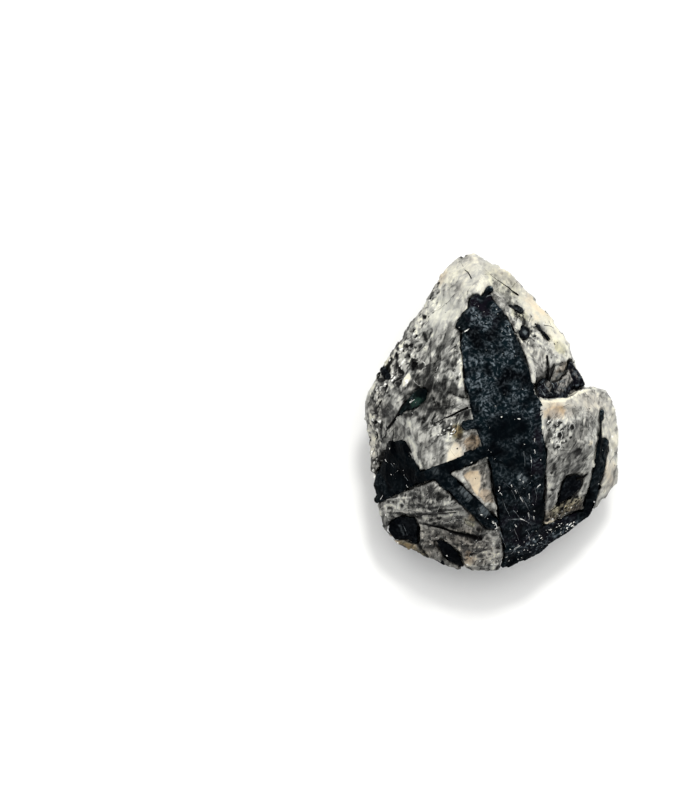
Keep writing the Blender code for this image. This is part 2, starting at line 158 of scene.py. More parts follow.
# Faces of the quartz with a clear edge: how much lighter and warmer, then the corners as x, y.
FACES = {
    "cream": (0.22, 0.3, (-7.2, -8.4), (-7.0, -6.6), (-5.7, -4.5), (-4.9, -5.2), (-4.2, -7.3)),
    "tan": (-0.12, 1.1, (-4.4, -4.6), (-3.2, -3.5), (-1.9, -4.2), (-2.0, -5.8), (-3.9, -6.6)),
    "olive": (-0.12, 0.9, (-6.3, -2.0), (-4.9, -2.1), (-4.7, -4.2), (-6.2, -3.6)),
    "peach": (0.37, 0.95, (-4.5, -10.1), (-3.2, -9.3), (-2.1, -9.3), (-1.7, -11.4), (-2.4, -13.2)),
    "peach_grey": (-0.16, 0.0, (-1.9, -9.4), (-0.2, -9.2), (0.4, -12.4), (-1.5, -11.6)),
    "peach_low": (0.05, 0.7, (-2.3, -13.2), (-1.6, -12.0), (0.3, -12.6), (0.3, -14.4), (-1.2, -14.4)),
    "block_peach": (
        0.16, 0.5, (7.9, 0.2), (8.2, -1.0), (10.0, -1.2), (11.5, -1.1), (12.0, 0.6), (10.4, 0.9),
    ),
    "block_top": (
        0.1, 0.1, (7.7, 1.9), (11.7, 2.0), (13.5, 3.2), (15.4, 3.9), (19.4, 2.2), (18.6, 0.4), (12.4, 0.9),
        (7.8, 0.9),
    ),
    "notch_brown": (-0.16, 0.6, (10.3, 6.2), (11.1, 7.9), (12.5, 8.2), (11.8, 6.1)),
    "notch_pale": (0.02, 0.3, (8.9, 5.2), (10.2, 7.2), (10.8, 6.2), (10.2, 5.0)),
    "chips_teal": (-0.2, 0.0, (3.4, 15.8), (6.1, 14.6), (6.3, 13.9), (4.4, 14.0)),
    "low_white": (
        0.75, 0.2, (7.7, -18.2), (7.9, -17.8), (9.0, -17.6), (9.9, -17.2), (9.9, -17.5), (8.8, -18.1),
    ),
    "low_olive": (
        -0.06, 0.25, (8.3, -15.6), (10.6, -15.3), (13.8, -13.2), (14.8, -14.4), (14.4, -16.2), (8.1, -17.8),
    ),
    "white_flake": (0.6, 0.1, (-13.9, 4.0), (-13.6, 5.5), (-13.0, 6.1), (-12.8, 5.3), (-13.2, 4.4)),
    "dark_square": (-1.0, 0.0, (-12.8, 8.4), (-12.0, 8.5), (-11.9, 6.7), (-12.7, 6.6)),
    "dark_pocket": (-0.35, 0.0, (-11.7, 8.0), (-10.9, 7.9), (-10.6, 7.0), (-11.4, 6.7)),
    "white_streak": (0.4, 0.0, (-9.9, -2.2), (-8.2, -2.0), (-7.9, -3.6), (-9.4, -3.9)),
    "left_edge_tan": (
        0.45, 0.75, (-17.0, -19.4), (-16.4, -21.2), (-14.9, -22.2), (-14.8, -21.0), (-16.0, -19.6),
    ),
    "left_edge_olive": (-0.05, 0.1, (-14.8, -20.6), (-14.6, -22.2), (-10.4, -23.8), (-12.0, -21.6)),
    "notch_olive": (-0.14, 0.0, (9.6, 11.4), (11.0, 11.3), (12.3, 9.6), (12.0, 8.8), (10.4, 10.2)),
    "rod_end_brown": (-0.25, 0.6, (-2.4, -18.3), (-1.7, -18.2), (-1.7, -19.0), (-2.4, -19.0)),
    "bottom_brown": (0.14, 0.8, (-4.0, -22.4), (-3.2, -22.3), (-3.0, -23.9), (-4.0, -23.6)),
    "step_brown": (0.12, 0.8, (-3.8, -16.0), (-3.0, -15.9), (-2.9, -17.4), (-3.7, -17.2)),
    "right_dark": (-0.18, 0.0, (12.8, -4.6), (14.4, -4.9), (14.7, -6.9), (13.2, -7.4), (12.6, -6.0)),
    "right_spot": (-1.0, 0.0, (13.5, -6.0), (14.2, -6.0), (14.3, -6.8), (13.7, -6.9)),
    "right_yellow": (0.45, 0.5, (15.4, -4.6), (15.9, -4.5), (16.1, -5.1), (15.5, -5.2)),
    "right_wisp": (0.3, 0.0, (8.9, -11.4), (9.7, -11.3), (9.6, -13.2), (8.8, -13.0)),
}

# Lines in the quartz: how much lighter, half the width, then the places that each passes. Some pale ones
# are painted highlights along lit edges, and some dark ones are painted shadow.
STROKES = (
    (0.5, 0.4, (-5.1, 11.0), (-4.9, 9.6)),
    (0.45, 0.4, (-4.9, 8.8), (-4.7, 7.6)),
    (0.6, 0.45, (-4.6, 7.0), (-4.4, 5.6)),
    (0.4, 0.3, (-4.3, 5.0), (-4.1, 3.8)),
    (0.4, 0.35, (-6.6, 6.4), (-6.0, 5.9), (-5.8, 5.0)),
    (0.3, 0.3, (-8.2, 6.6), (-7.0, 7.2), (-5.6, 6.9)),
    (0.3, 0.3, (-7.8, 1.9), (-6.4, 2.6), (-5.0, 1.8)),
    # The lit top edge of the right block's ledge, in these two lines: a painted highlight.
    (0.55, 0.3, (7.7, 1.7), (9.7, 1.8), (11.5, 1.8), (12.4, 2.4)),
    (0.45, 0.3, (12.4, 2.4), (13.8, 3.1), (15.6, 3.7)),
    # A painted highlight along the left edge.
    (0.35, 0.35, (-17.7, 4.7), (-19.0, 4.0), (-19.8, 2.8)),
    (0.35, 0.3, (-16.1, 7.4), (-15.7, 6.2)),
    (0.35, 0.3, (-15.9, 4.0), (-15.6, 2.9)),
    (0.3, 0.45, (-14.4, 9.4), (-14.1, 8.0), (-14.0, 6.6)),
    (0.35, 0.3, (-6.5, -1.1), (-6.2, -2.0), (-5.2, -1.5)),
    (0.35, 0.35, (-12.6, -5.0), (-11.8, -7.6), (-11.0, -9.2)),
    (0.3, 0.3, (9.0, -1.5), (9.8, -3.6), (10.7, -5.6)),
    (0.25, 0.25, (11.4, -1.6), (10.8, -2.8), (10.3, -4.2)),
    (0.3, 0.3, (-19.3, 0.4), (-19.0, -3.0), (-18.7, -6.0)),
    (0.25, 0.25, (-17.2, -13.2), (-14.0, -13.4), (-13.4, -14.4), (-16.6, -15.0), (-17.2, -13.2)),
    (0.4, 0.3, (-18.1, -15.6), (-17.7, -17.4)),
    (0.35, 0.35, (-1.0, -22.3), (0.2, -23.6), (0.4, -24.8)),
    (0.3, 0.3, (-11.3, -17.4), (-11.0, -18.8), (-11.4, -20.6)),
    (0.5, 0.35, (3.0, 16.2), (4.2, 13.6), (4.8, 11.2)),
    (0.35, 0.35, (5.6, 9.6), (6.4, 7.2), (6.7, 4.6)),
    (-0.5, 0.25, (-9.9, 12.4), (-9.7, 10.4), (-9.8, 8.3), (-9.9, 6.2)),
    (-0.22, 0.35, (-8.2, 12.0), (-8.3, 9.8), (-8.6, 8.0)),
    (-0.6, 0.3, (-14.9, 9.1), (-15.0, 7.7), (-14.5, 6.4)),
    (-0.55, 0.28, (-15.8, 8.5), (-16.3, 7.7), (-16.5, 6.6)),
    (-0.6, 0.25, (-13.7, 10.4), (-13.1, 10.6), (-12.5, 10.8)),
    (-0.5, 0.25, (-10.9, 12.8), (-10.5, 11.5)),
    (-0.35, 0.25, (-6.9, 3.2), (-5.4, 2.4), (-3.9, 2.3)),
    (-0.35, 0.8, (-10.2, 5.4), (-10.4, 3.4)),
    # The shadow below the spot crystal, painted.
    (-0.4, 0.45, (-15.2, 0.0), (-13.4, -0.7), (-12.0, -0.3)),
    (-0.45, 0.28, (-18.5, 1.9), (-18.3, -0.2), (-18.6, -2.4)),
    (-0.35, 0.28, (-17.6, -2.0), (-17.3, -5.0), (-17.6, -8.0)),
    (-0.35, 0.3, (-17.4, -15.8), (-12.1, -16.7), (-9.6, -16.1), (-5.7, -16.0)),
    (-0.25, 0.3, (-13.6, -14.6), (-9.6, -15.2), (-5.0, -14.9)),
    (-0.4, 0.25, (-11.7, -21.0), (-11.1, -21.9), (-10.0, -23.2)),
    (-0.35, 0.25, (12.4, 2.9), (13.8, 3.6), (15.0, 4.0)),
    (-0.3, 0.25, (17.4, 2.6), (17.2, 1.5)),
    (-0.45, 0.28, (9.0, -0.9), (8.7, -1.8)),
    (-0.45, 0.25, (11.2, -1.6), (11.6, -2.4)),
    (-0.4, 0.3, (9.9, -8.2), (10.0, -10.0)),
    (-0.4, 0.35, (-17.4, -16.6), (-17.3, -18.6)),
    (-0.3, 0.3, (-8.8, 20.0), (-9.4, 18.6)),
    (-0.9, 0.32, (7.1, 5.2), (6.95, 4.0), (7.2, 2.6)),
    (-0.6, 0.3, (8.8, 8.8), (8.9, 7.2), (8.9, 5.4)),
    (-0.45, 0.22, (10.1, 7.6), (9.6, 6.4), (9.2, 5.2)),
    # A painted shadow band along the step.
    (-0.45, 0.3, (-11.7, -16.3), (-8.0, -15.9), (-4.9, -15.5)),
    (0.2, 0.18, (-11.3, -15.7), (-8.0, -15.4), (-5.0, -14.9)),
    (0.25, 0.2, (-10.6, -17.0), (-7.6, -16.6), (-4.9, -16.1)),
    (0.3, 0.2, (-10.0, -17.6), (-7.4, -17.3)),
    (0.4, 0.18, (-16.7, -15.9), (-16.9, -15.2), (-16.1, -14.7), (-15.4, -15.1), (-15.7, -15.8)),
    (-0.5, 0.28, (-16.3, -15.4), (-16.0, -15.3)),
    (0.4, 0.18, (-15.0, -15.4), (-14.9, -14.6), (-14.2, -14.3), (-13.6, -14.8), (-14.0, -15.4)),
    (-0.5, 0.26, (-14.4, -15.0), (-14.1, -14.9)),
    (0.4, 0.16, (-16.6, -14.0), (-14.6, -13.7), (-12.6, -13.5)),
    (0.35, 0.16, (-17.3, -15.9), (-14.5, -15.9), (-11.7, -15.7)),
    (0.5, 0.22, (-10.5, -14.1), (-10.0, -13.8), (-9.7, -14.2)),
    (0.55, 0.2, (-18.0, -14.6), (-17.3, -13.3)),
    (-0.55, 0.22, (-11.5, -17.7), (-8.3, -18.3), (-5.7, -19.3)),
    (-0.85, 0.3, (-6.6, -19.1), (-4.4, -19.6), (-2.1, -20.1)),
    (0.35, 0.25, (-0.6, -19.0), (0.2, -20.6), (0.6, -22.6)),
    (0.3, 0.2, (-4.9, -21.2), (-3.4, -21.0), (-1.6, -21.4)),
    (0.25, 0.2, (-10.9, -19.6), (-9.4, -19.4)),
    (-0.3, 0.25, (-3.6, -22.9), (-1.8, -22.7)),
    (-0.3, 0.25, (-1.4, -23.4), (-0.2, -24.4)),
    (0.3, 0.25, (-3.0, -23.2), (-1.6, -23.8)),
)

# Ovals where the quartz is rough and flaky: x, y, half length, half width, turn, how rough.
BROKEN = (
    (-14.5, 8.5, 7.5, 2.6, 58, 1.0),
    (-9.5, 17.0, 6.5, 1.5, 58, 1.0),
    (-7.0, -2.0, 3.0, 2.5, 0, 0.9),
    (10.4, -3.0, 2.0, 3.4, 15, 0.9),
    (12.0, -16.0, 5.0, 1.8, 32, 1.0),
    (-18.5, -3.0, 10.0, 1.2, 88, 1.0),
    (-2.0, -23.0, 5.5, 2.4, 0, 1.0),
    (-9.0, -18.5, 7.5, 3.0, -5, 0.55),
    (-10.0, -13.8, 7.0, 2.0, 4, 0.45),
    (4.8, 13.5, 3.2, 1.8, -50, 1.0),
    (-5.6, 8.0, 4.0, 1.2, 84, 0.8),
    (-9.0, 4.0, 4.5, 4.5, 0, 0.15),
)

# Ovals where the quartz is olive, given in the same way.
OLIVE = (
    (11.9, -15.2, 3.0, 1.1, 30, 0.7),
    (-5.6, -3.0, 1.1, 1.2, 0, 0.9),
    (-12.6, -22.2, 2.8, 1.0, -25, 0.8),
    (11.0, 10.3, 1.6, 0.8, -50, 0.5),
    (-3.4, -17.4, 1.0, 1.0, 0, 0.6),
    (-16.6, 8.2, 1.2, 0.8, 60, 0.5),
    (4.6, 15.4, 1.6, 0.7, -30, 0.5),
    (2.0, 20.4, 4.0, 1.8, -40, 0.3),
)

# Where the streaks of the quartz lie level instead of upright, given in the same way.
LEVEL = (
    (-10.5, -14.0, 9.0, 2.6, 3, 1.0),
    (-8.0, -18.5, 9.0, 4.5, -6, 0.9),
    (13.0, 1.6, 6.5, 1.2, 3, 0.7),
)

# Where bright flakes and dark crumbs lie: x, y, half length, half width and turn of the field, then
# how many there are, how long the longest is and the way they point. The bright flakes are pale bits
# of quartz, and on the black crystals they mostly stand for painted glints.
FLAKE_AND_GLINT_FIELDS = (
    (-15.0, 8.5, 6.0, 1.7, 58, 30, 1.6, 72),
    (-9.5, 17.0, 6.0, 1.2, 58, 12, 1.1, 60),
    (-13.4, 4.9, 0.5, 0.3, 80, 6, 1.3, 80),
    (-5.0, 8.0, 3.4, 0.25, 86, 12, 1.0, 86),
    (-7.8, -2.8, 2.0, 1.4, 0, 18, 0.9, 40),
    (10.2, -3.4, 1.0, 2.8, 20, 16, 0.7, 50),
    (13.9, 3.3, 1.8, 0.3, 25, 8, 1.0, 25),
    (19.3, -4.0, 6.0, 0.6, 88, 12, 1.0, 88),
    (-5.5, -21.5, 5.0, 2.0, -8, 16, 0.6, 0),
    (-1.0, -24.2, 3.0, 0.6, 4, 14, 0.9, 10),
    (11.8, -16.0, 3.4, 0.7, 32, 16, 0.6, 32),
    (9.5, -19.6, 5.0, 1.1, 32, 38, 0.48, 30),
    (12.3, -18.7, 1.7, 0.55, 35, 9, 0.65, 32),
    (4.5, -22.5, 3.0, 1.5, 20, 10, 0.45, 0),
    (-18.6, -3.0, 9.0, 0.8, 87, 24, 1.0, 86),
    (-14.5, -14.2, 2.6, 1.0, 2, 12, 0.6, 20),
    (0.9, -19.6, 2.4, 0.12, -72, 10, 0.9, -70),
    (4.8, -14.5, 2.6, 6.5, 0, 20, 0.26, 70),
    (1.0, 6.0, 3.0, 9.0, 8, 14, 0.24, 10),
    (-15.2, -8.5, 1.8, 2.8, 0, 7, 0.35, 40),
)
CRUMB_FIELDS = (
    (-14.8, 8.8, 6.0, 1.7, 58, 26, 1.5, 78),
    (-17.0, 6.2, 1.4, 0.8, 50, 10, 1.3, 60),
    (-9.5, 17.5, 5.5, 1.1, 60, 10, 1.0, 60),
    (10.4, -2.8, 1.2, 2.2, 15, 12, 0.7, 40),
    (7.6, 13.4, 2.5, 0.8, -50, 6, 0.8, -50),
    (12.0, -15.7, 3.6, 1.1, 32, 40, 0.8, 30),
    (-5.5, -21.0, 6.5, 2.6, -8, 14, 0.6, 0),
    (-18.3, -5.0, 8.0, 0.8, 87, 18, 1.0, 85),
    (-9.0, 3.0, 4.0, 3.0, 0, 8, 0.5, 40),
    (-14.6, -21.4, 2.2, 0.7, -30, 8, 0.8, -30),
    (-1.9, -20.0, 0.32, 0.45, 0, 26, 1.3, 80),
    (-12.4, 7.6, 0.3, 0.75, 0, 24, 1.3, 85),
)

# Fine black needles that show on the front: the radius at the thick end, then the places it passes.
NEEDLES = (
    (0.17, (4.3, 18.6), (2.6, 19.9), (0.95, 21.0)),
    (0.06, (0.95, 21.0), (-0.2, 21.9), (-1.0, 22.7)),
    (0.11, (-3.2, 21.2), (-3.7, 22.2), (-4.2, 22.7), (-4.8, 23.8)),
    (0.05, (-3.9, 18.6), (-3.7, 19.6)),
    (0.08, (8.4, 13.8), (9.4, 13.7), (10.0, 13.4)),
    (0.06, (6.4, 13.8), (6.6, 12.4)),
    (0.26, (8.78, 8.95), (8.9, 7.4), (8.95, 5.4)),
    (0.18, (9.1, 4.9), (9.7, 6.3), (10.2, 7.5)),
    (0.15, (7.0, 3.8), (8.3, 4.7), (9.2, 5.7)),
    (0.1, (10.6, 4.2), (11.1, 5.6), (12.1, 6.4)),
    (0.1, (-17.4, -4.4), (-16.9, -3.6)),
    (0.22, (-3.8, 0.7), (-5.2, 0.1), (-6.4, -0.5), (-9.0, -1.7)),
    (0.1, (-3.9, 2.3), (-5.4, 2.4), (-6.9, 3.2)),
    (0.07, (-5.7, -16.0), (-9.6, -16.1), (-12.1, -16.8), (-16.6, -16.0)),
    (0.5, (-2.4, -20.1), (-3.3, -19.8), (-4.6, -19.5)),
    (0.34, (-2.2, -20.0), (-3.8, -19.65), (-5.7, -19.3), (-7.9, -18.5), (-10.6, -17.9)),
    (0.34, (-13.6, 1.7), (-14.4, 0.5), (-15.4, -1.0)),
    (0.26, (-16.4, -2.5), (-15.4, -1.0), (-14.2, 0.8)),
    (0.14, (-16.0, -1.9), (-16.7, -3.0), (-16.9, -4.2)),
    (0.07, (-10.0, -23.2), (-11.1, -21.9), (-11.7, -21.0)),
    (0.36, (13.5, -10.6), (14.7, -10.4), (15.4, -9.8)),
    (0.2, (8.95, 5.0), (8.95, 6.4), (8.88, 7.6)),
    (0.07, (9.2, -15.9), (13.2, -13.4)),
    (0.1, (-12.4, 10.8), (-13.1, 10.6), (-13.7, 10.4)),
    (0.08, (-14.5, 6.4), (-15.0, 7.7), (-14.9, 9.1)),
    (0.07, (-16.5, 6.6), (-16.3, 7.7), (-15.8, 8.5)),
    (0.05, (-9.9, 6.2), (-9.8, 8.3), (-9.7, 10.4), (-9.9, 12.4)),
    (0.05, (-8.1, 8.2), (-8.3, 10.4)),
    (0.1, (-9.3, 2.4), (-9.4, 1.4)),
    (0.06, (-15.6, -3.0), (-16.6, -10.0)),
    (0.06, (-2.2, -15.2), (-0.8, -17.6)),
    (0.07, (12.4, 2.8), (13.8, 3.5), (15.0, 3.9)),
    (0.06, (-8.2, 20.8), (-8.4, 20.1)),
    (0.07, (-8.2, 19.2), (-9.0, 18.5)),
)

# Fine pale threads and curls in the quartz, given in the same way. The short bright streaks on the black
# blade among them stand for painted glints.
THREADS = (
    (0.16, (-4.7, 12.45), (-5.9, 12.55)),
    (0.16, (-4.7, 12.45), (-3.95, 12.9), (-3.7, 13.2)),
    (0.1, (10.3, -1.5), (10.6, -1.1), (11.1, -1.3), (11.2, -1.9)),
    (0.1, (12.2, -2.6), (12.4, -1.9), (13.0, -1.9), (13.2, -2.5), (12.8, -3.0)),
    (0.12, (10.2, -3.9), (10.3, -3.2), (10.9, -3.1), (11.2, -3.7), (10.9, -4.3)),
    (0.11, (10.0, -5.6), (10.2, -5.0), (10.8, -5.0), (10.9, -5.7), (10.4, -6.0)),
    (0.09, (8.7, -1.8), (9.0, -1.3), (9.4, -1.5)),
    (0.1, (-16.7, -15.6), (-16.6, -14.9), (-16.0, -14.7), (-15.5, -15.1)),
    (0.1, (-14.9, -15.4), (-14.8, -14.6), (-14.1, -14.4), (-13.7, -15.0), (-14.1, -15.5)),
    (0.08, (-16.6, -14.0), (-14.6, -13.7), (-12.6, -13.5)),
    (0.1, (-18.0, -14.6), (-17.3, -13.3)),
    (0.08, (-6.3, 6.4), (-5.8, 5.6), (-6.0, 4.7)),
    (0.08, (-11.2, 8.1), (-10.6, 7.8), (-10.5, 7.1), (-11.0, 6.7)),
    (0.08, (-12.7, 9.9), (-12.0, 9.4), (-11.8, 8.7)),
    (0.08, (-16.8, -1.0), (-16.9, -2.6), (-16.4, -4.0)),
    (0.08, (0.3, -20.8), (0.5, -22.4), (0.3, -24.0)),
    # Bright streaks on the black blade: painted glints.
    (0.13, (4.5, -13.5), (4.76, -13.9), (5.0, -14.4)),
    (0.11, (5.85, -13.0), (5.96, -13.4), (6.0, -13.8)),
    (0.11, (7.7, -11.5), (7.36, -11.8), (7.1, -12.1)),
    (0.09, (1.1, -11.8), (1.16, -12.1), (1.2, -12.5)),
    (0.09, (1.45, -12.9), (1.6, -13.2)),
    (0.08, (3.0, -11.5), (3.1, -11.9)),
    (0.07, (3.6, -12.4), (3.9, -12.9)),
    (0.11, (5.8, -16.0), (5.9, -16.5), (6.0, -17.0)),
    (0.09, (6.75, -4.2), (6.75, -4.8)),
    (0.1, (6.7, -6.0), (6.8, -6.6)),
    (0.11, (6.2, -7.6), (6.3, -8.2)),
    (0.09, (6.7, -16.6), (6.8, -17.2)),
    (0.09, (4.5, -17.0), (5.2, -17.2), (6.0, -17.7)),
    (0.1, (4.6, -21.3), (3.9, -21.7), (3.3, -22.5)),
    (0.08, (3.7, -17.9), (3.9, -18.3)),
    (0.09, (6.0, -19.9), (6.1, -20.4)),
    (0.12, (0.5, -17.6), (0.7, -18.1), (0.9, -18.5)),
    # A painted glint on the green spot crystal.
    (0.14, (-13.0, 1.5), (-12.7, 1.75), (-12.3, 2.0)),
    (0.07, (-16.9, -7.6), (-16.6, -8.0)),
    (0.07, (-13.3, -12.0), (-13.6, -11.6)),
)

# Fine grey scratches and fibres on the black crystals, given in the same way. Some are painted glints and
# highlights.
SCRATCHES = (
    (0.1, (2.6, -17.1), (4.2, -17.0), (5.6, -17.4), (6.4, -18.0)),
    (0.08, (4.8, -13.6), (5.35, -14.6), (6.0, -15.7)),
    (0.07, (5.7, -13.4), (6.0, -14.5)),
    (0.07, (1.7, -11.1), (2.8, -12.0), (3.5, -13.2), (4.0, -14.5)),
    (0.06, (2.8, -11.8), (4.0, -12.4), (4.4, -13.4)),
    (0.08, (6.0, -6.7), (6.3, -7.9), (6.2, -9.4)),
    (0.06, (5.0, -6.2), (5.2, -8.6)),
    (0.09, (3.2, -22.6), (4.0, -21.8), (4.8, -21.4)),
    (0.12, (1.3, -19.0), (1.9, -20.4), (2.4, -21.8)),
    (0.07, (7.6, -20.9), (9.0, -21.3)),
    (0.06, (1.6, -13.6), (2.2, -15.4), (2.9, -16.6)),
    (0.06, (3.4, -15.6), (4.3, -16.6), (4.9, -17.9)),
    (0.06, (6.6, -11.6), (7.1, -13.0), (7.0, -14.8)),
    (0.06, (3.6, -18.6), (4.4, -20.4)),
    (0.06, (5.6, -18.8), (6.3, -20.0)),
    # A painted glint along the lower left black patch.
    (0.07, (-14.1, -17.9), (-13.7, -18.8), (-13.4, -19.8)),
    # Pale curls on the notch bed: painted highlights.
    (0.13, (8.4, 2.6), (8.0, 3.2), (7.5, 3.8)),
    (0.11, (9.0, 3.6), (8.4, 4.0), (8.3, 4.7)),
    (0.12, (9.3, 4.9), (9.8, 4.3), (9.9, 3.7)),
    (0.11, (10.0, 3.1), (10.5, 3.8), (11.2, 4.2)),
    (0.1, (8.7, 2.9), (9.4, 3.1), (9.7, 2.7)),
    (0.1, (10.6, 4.6), (11.6, 5.2), (12.4, 5.3)),
    (0.1, (10.3, 5.4), (11.2, 6.2), (12.0, 6.6)),
    (0.06, (13.1, 6.6), (13.9, 5.5)),
    (0.07, (-16.0, -8.2), (-15.5, -8.9)),
    (0.06, (-13.3, -10.9), (-13.9, -10.2)),
    (0.12, (-0.9, 18.2), (-0.4, 18.6), (0.1, 18.5)),
    (0.1, (-2.9, 17.0), (-2.4, 17.4)),
    (0.08, (-0.2, 16.6), (0.2, 17.2)),
)

# Small black spots and pits on the front: x, y and radius.
SPOTS = (
    (-14.8, 10.0, 0.28), (-13.2, 10.6, 0.34), (-12.8, 10.5, 0.25), (-16.7, 6.9, 0.5),
    (-17.1, 6.1, 0.45), (-16.2, 5.6, 0.35), (-17.6, 5.0, 0.4), (-8.4, 20.5, 0.26), (-10.7, 15.2, 0.22),
    (6.7, 12.0, 0.22), (-2.1, -20.1, 0.65), (-8.3, -17.0, 0.18), (-18.1, -9.4, 0.25),
    (10.75, -1.7, 0.26), (12.7, -2.4, 0.28), (10.7, -3.7, 0.26), (10.5, -5.5, 0.24), (9.0, -1.7, 0.2),
    (12.5, -4.0, 0.18), (9.6, -12.4, 0.22), (9.4, -9.6, 0.2),
)

# The brightest flakes: x, y and length. Many lie on the black crystals, where they stand for painted
# glints.
FLAKES_AND_GLINTS = (
    (-10.3, -12.4, 0.5), (-10.1, -14.0, 0.45), (-3.3, -8.0, 0.55), (5.1, -5.1, 0.45), (4.2, -1.1, 0.55),
    (-16.2, -5.8, 0.45), (9.4, -18.8, 0.75), (4.9, -11.0, 0.35), (6.5, -14.7, 0.35), (3.9, -18.2, 0.4),
    (2.5, -23.2, 0.45), (-1.7, -16.3, 0.5), (-12.8, 1.9, 0.4), (-12.1, 1.5, 0.28), (-0.7, -16.9, 0.35),
    (10.9, -18.2, 0.4), (7.2, -19.0, 0.45), (11.9, -16.2, 0.5), (-9.1, -3.0, 0.55), (-8.0, -3.6, 0.5),
    (9.9, -3.6, 0.45), (10.5, -4.8, 0.45), (-1.25, 15.9, 0.26), (0.7, 16.3, 0.24), (-2.1, 16.8, 0.2),
)

# Ovals where the black is clear, with few painted glints and less tint: x, y, half length, half width,
# turn, how clear.
CLEAR_BLACK = (
    (-1.3, 17.6, 2.0, 2.3, 0, 0.8),
    (-4.8, 14.0, 1.8, 1.1, 45, 0.9),
    (-1.6, 10.4, 1.5, 1.6, 0, 0.45),
    (4.6, 9.0, 3.2, 0.6, -68, 0.75),
    (6.0, 4.0, 3.6, 0.55, -76, 0.75),
    (7.2, -3.0, 6.0, 0.6, -88, 0.6),
    (2.5, -2.3, 3.4, 2.2, 5, 0.92),
    (-15.0, -8.5, 3.2, 4.6, 0, 0.8),
    (-7.0, -9.4, 9.0, 1.2, 20, 0.6),
    (-11.3, 2.9, 0.95, 0.8, 0, 1.0),
)

# Ovals where the black is crusted and grainy, with many painted glints, given in the same way.
CRUSTED_BLACK = (
    (9.5, -18.8, 6.5, 1.6, 32, 0.65),
    (3.5, -22.6, 4.0, 1.6, 18, 0.6),
    (5.2, -10.8, 1.5, 1.5, 0, 0.35),
    (3.0, -12.4, 3.0, 1.5, -55, 0.25),
    (7.2, -7.5, 5.0, 0.6, 88, 0.35),
    (5.8, -15.8, 2.4, 0.7, -80, 0.35),
    (12.8, -12.0, 1.6, 2.0, 0, 0.45),
)

# Ovals where the black has a violet tint, given in the same way.
VIOLET_BLACK = (
    (-1.3, 17.0, 3.2, 3.6, 0, 1.0),
    (7.1, -8.5, 9.0, 0.9, 88, 0.85),
    (4.4, -18.5, 3.6, 3.4, 0, 0.8),
    (9.5, -19.0, 7.0, 1.8, 32, 0.6),
)

# Faces where a grey sheen is painted on the black, for the reflections and glints of its facets; on the
# chip and the green spot it is partly their own colour. How strong it is, then the corners as x, y.
SHEENS = {
    "rod_upper": (0.75, (-5.5, -12.2), (-4.7, -11.5), (-3.2, -13.6), (-3.8, -14.2)),
    "rod_lower": (0.75, (-2.5, -15.3), (-1.7, -14.8), (-0.3, -16.1), (-1.2, -16.8)),
    "rod_joint": (0.25, (-9.6, -9.0), (-8.6, -8.8), (-8.4, -9.8), (-9.3, -10.0)),
    "blade_low": (1.0, (3.9, -10.2), (4.6, -9.8), (5.6, -10.6), (5.4, -11.5), (4.5, -11.4)),
    "wedge_streak": (0.45, (12.8, 6.9), (13.2, 6.6), (14.1, 5.2), (13.8, 5.2)),
    "bed_fan": (1.0, (10.2, 5.0), (11.3, 6.6), (12.5, 6.7), (12.8, 5.0), (11.8, 3.9), (10.6, 4.0)),
    "bed_left": (0.5, (8.2, 4.4), (9.0, 5.2), (9.5, 4.0), (9.2, 3.0), (8.6, 3.4)),
    "bed_low": (0.6, (9.8, 3.3), (10.8, 4.2), (11.6, 3.6), (10.6, 2.8)),
    "low_patch": (0.5, (-14.8, -18.0), (-14.4, -18.0), (-13.7, -19.8), (-14.0, -19.8)),
    "stub": (0.9, (4.8, 12.7), (5.2, 13.0), (5.6, 12.6), (5.2, 12.1)),
    "chip": (0.18, (3.4, 17.1), (5.1, 16.4), (5.0, 15.7), (3.5, 16.3)),
    "spot": (0.28, (-13.2, 1.6), (-11.6, 2.3), (-10.9, 1.9), (-11.0, 1.0), (-12.6, 0.6)),
    "spot_glint": (1.0, (-12.7, 1.7), (-12.2, 2.1), (-12.0, 1.9), (-12.5, 1.5)),
}


def length(name, description, millimetres):
    return FloatProperty(name=name, description=description, default=millimetres * MM, unit="LENGTH")


def colour(name, description, *values):
    return FloatVectorProperty(
        name=name, description=description, default=values, subtype="COLOR", size=3, min=0, max=1
    )


def amount(name, description, number):
    return IntProperty(name=name, description=description, default=number, min=0)


class QuartzSettings(PropertyGroup):
    """Sizes and colours of the quartz."""

    fineness: length("Fineness", "Width of the mesh's faces", 0.30)
    chip_size: length("Chip size", "Width of the broken facets", 3.2)
    chip_depth: length("Chip depth", "How far the broken facets step in and out", 0.22)
    splinter_size: length("Splinter size", "Width of the small broken facets", 1.2)
    splinter_depth: length("Splinter depth", "How far the small facets step", 0.14)
    grain_size: length("Grain size", "Width of the smallest waves of the surface", 1.1)
    grain_depth: length("Grain depth", "How rough the surface is", 0.025)
    pits: amount("Pits", "How many small pits the rough left edge and the sides have", 36)
    milk: colour("Milk", "The palest quartz", 0.87, 0.86, 0.72)
    haze: colour("Haze", "The quartz between milk and smoke", 0.49, 0.49, 0.455)
    smoke: colour("Smoke", "The quartz where it is clear and dark below", 0.048, 0.049, 0.046)
    stain: colour("Stain", "The warm stain", 0.78, 0.54, 0.34)
    olive: colour("Olive", "The olive stain", 0.74, 0.71, 0.46)


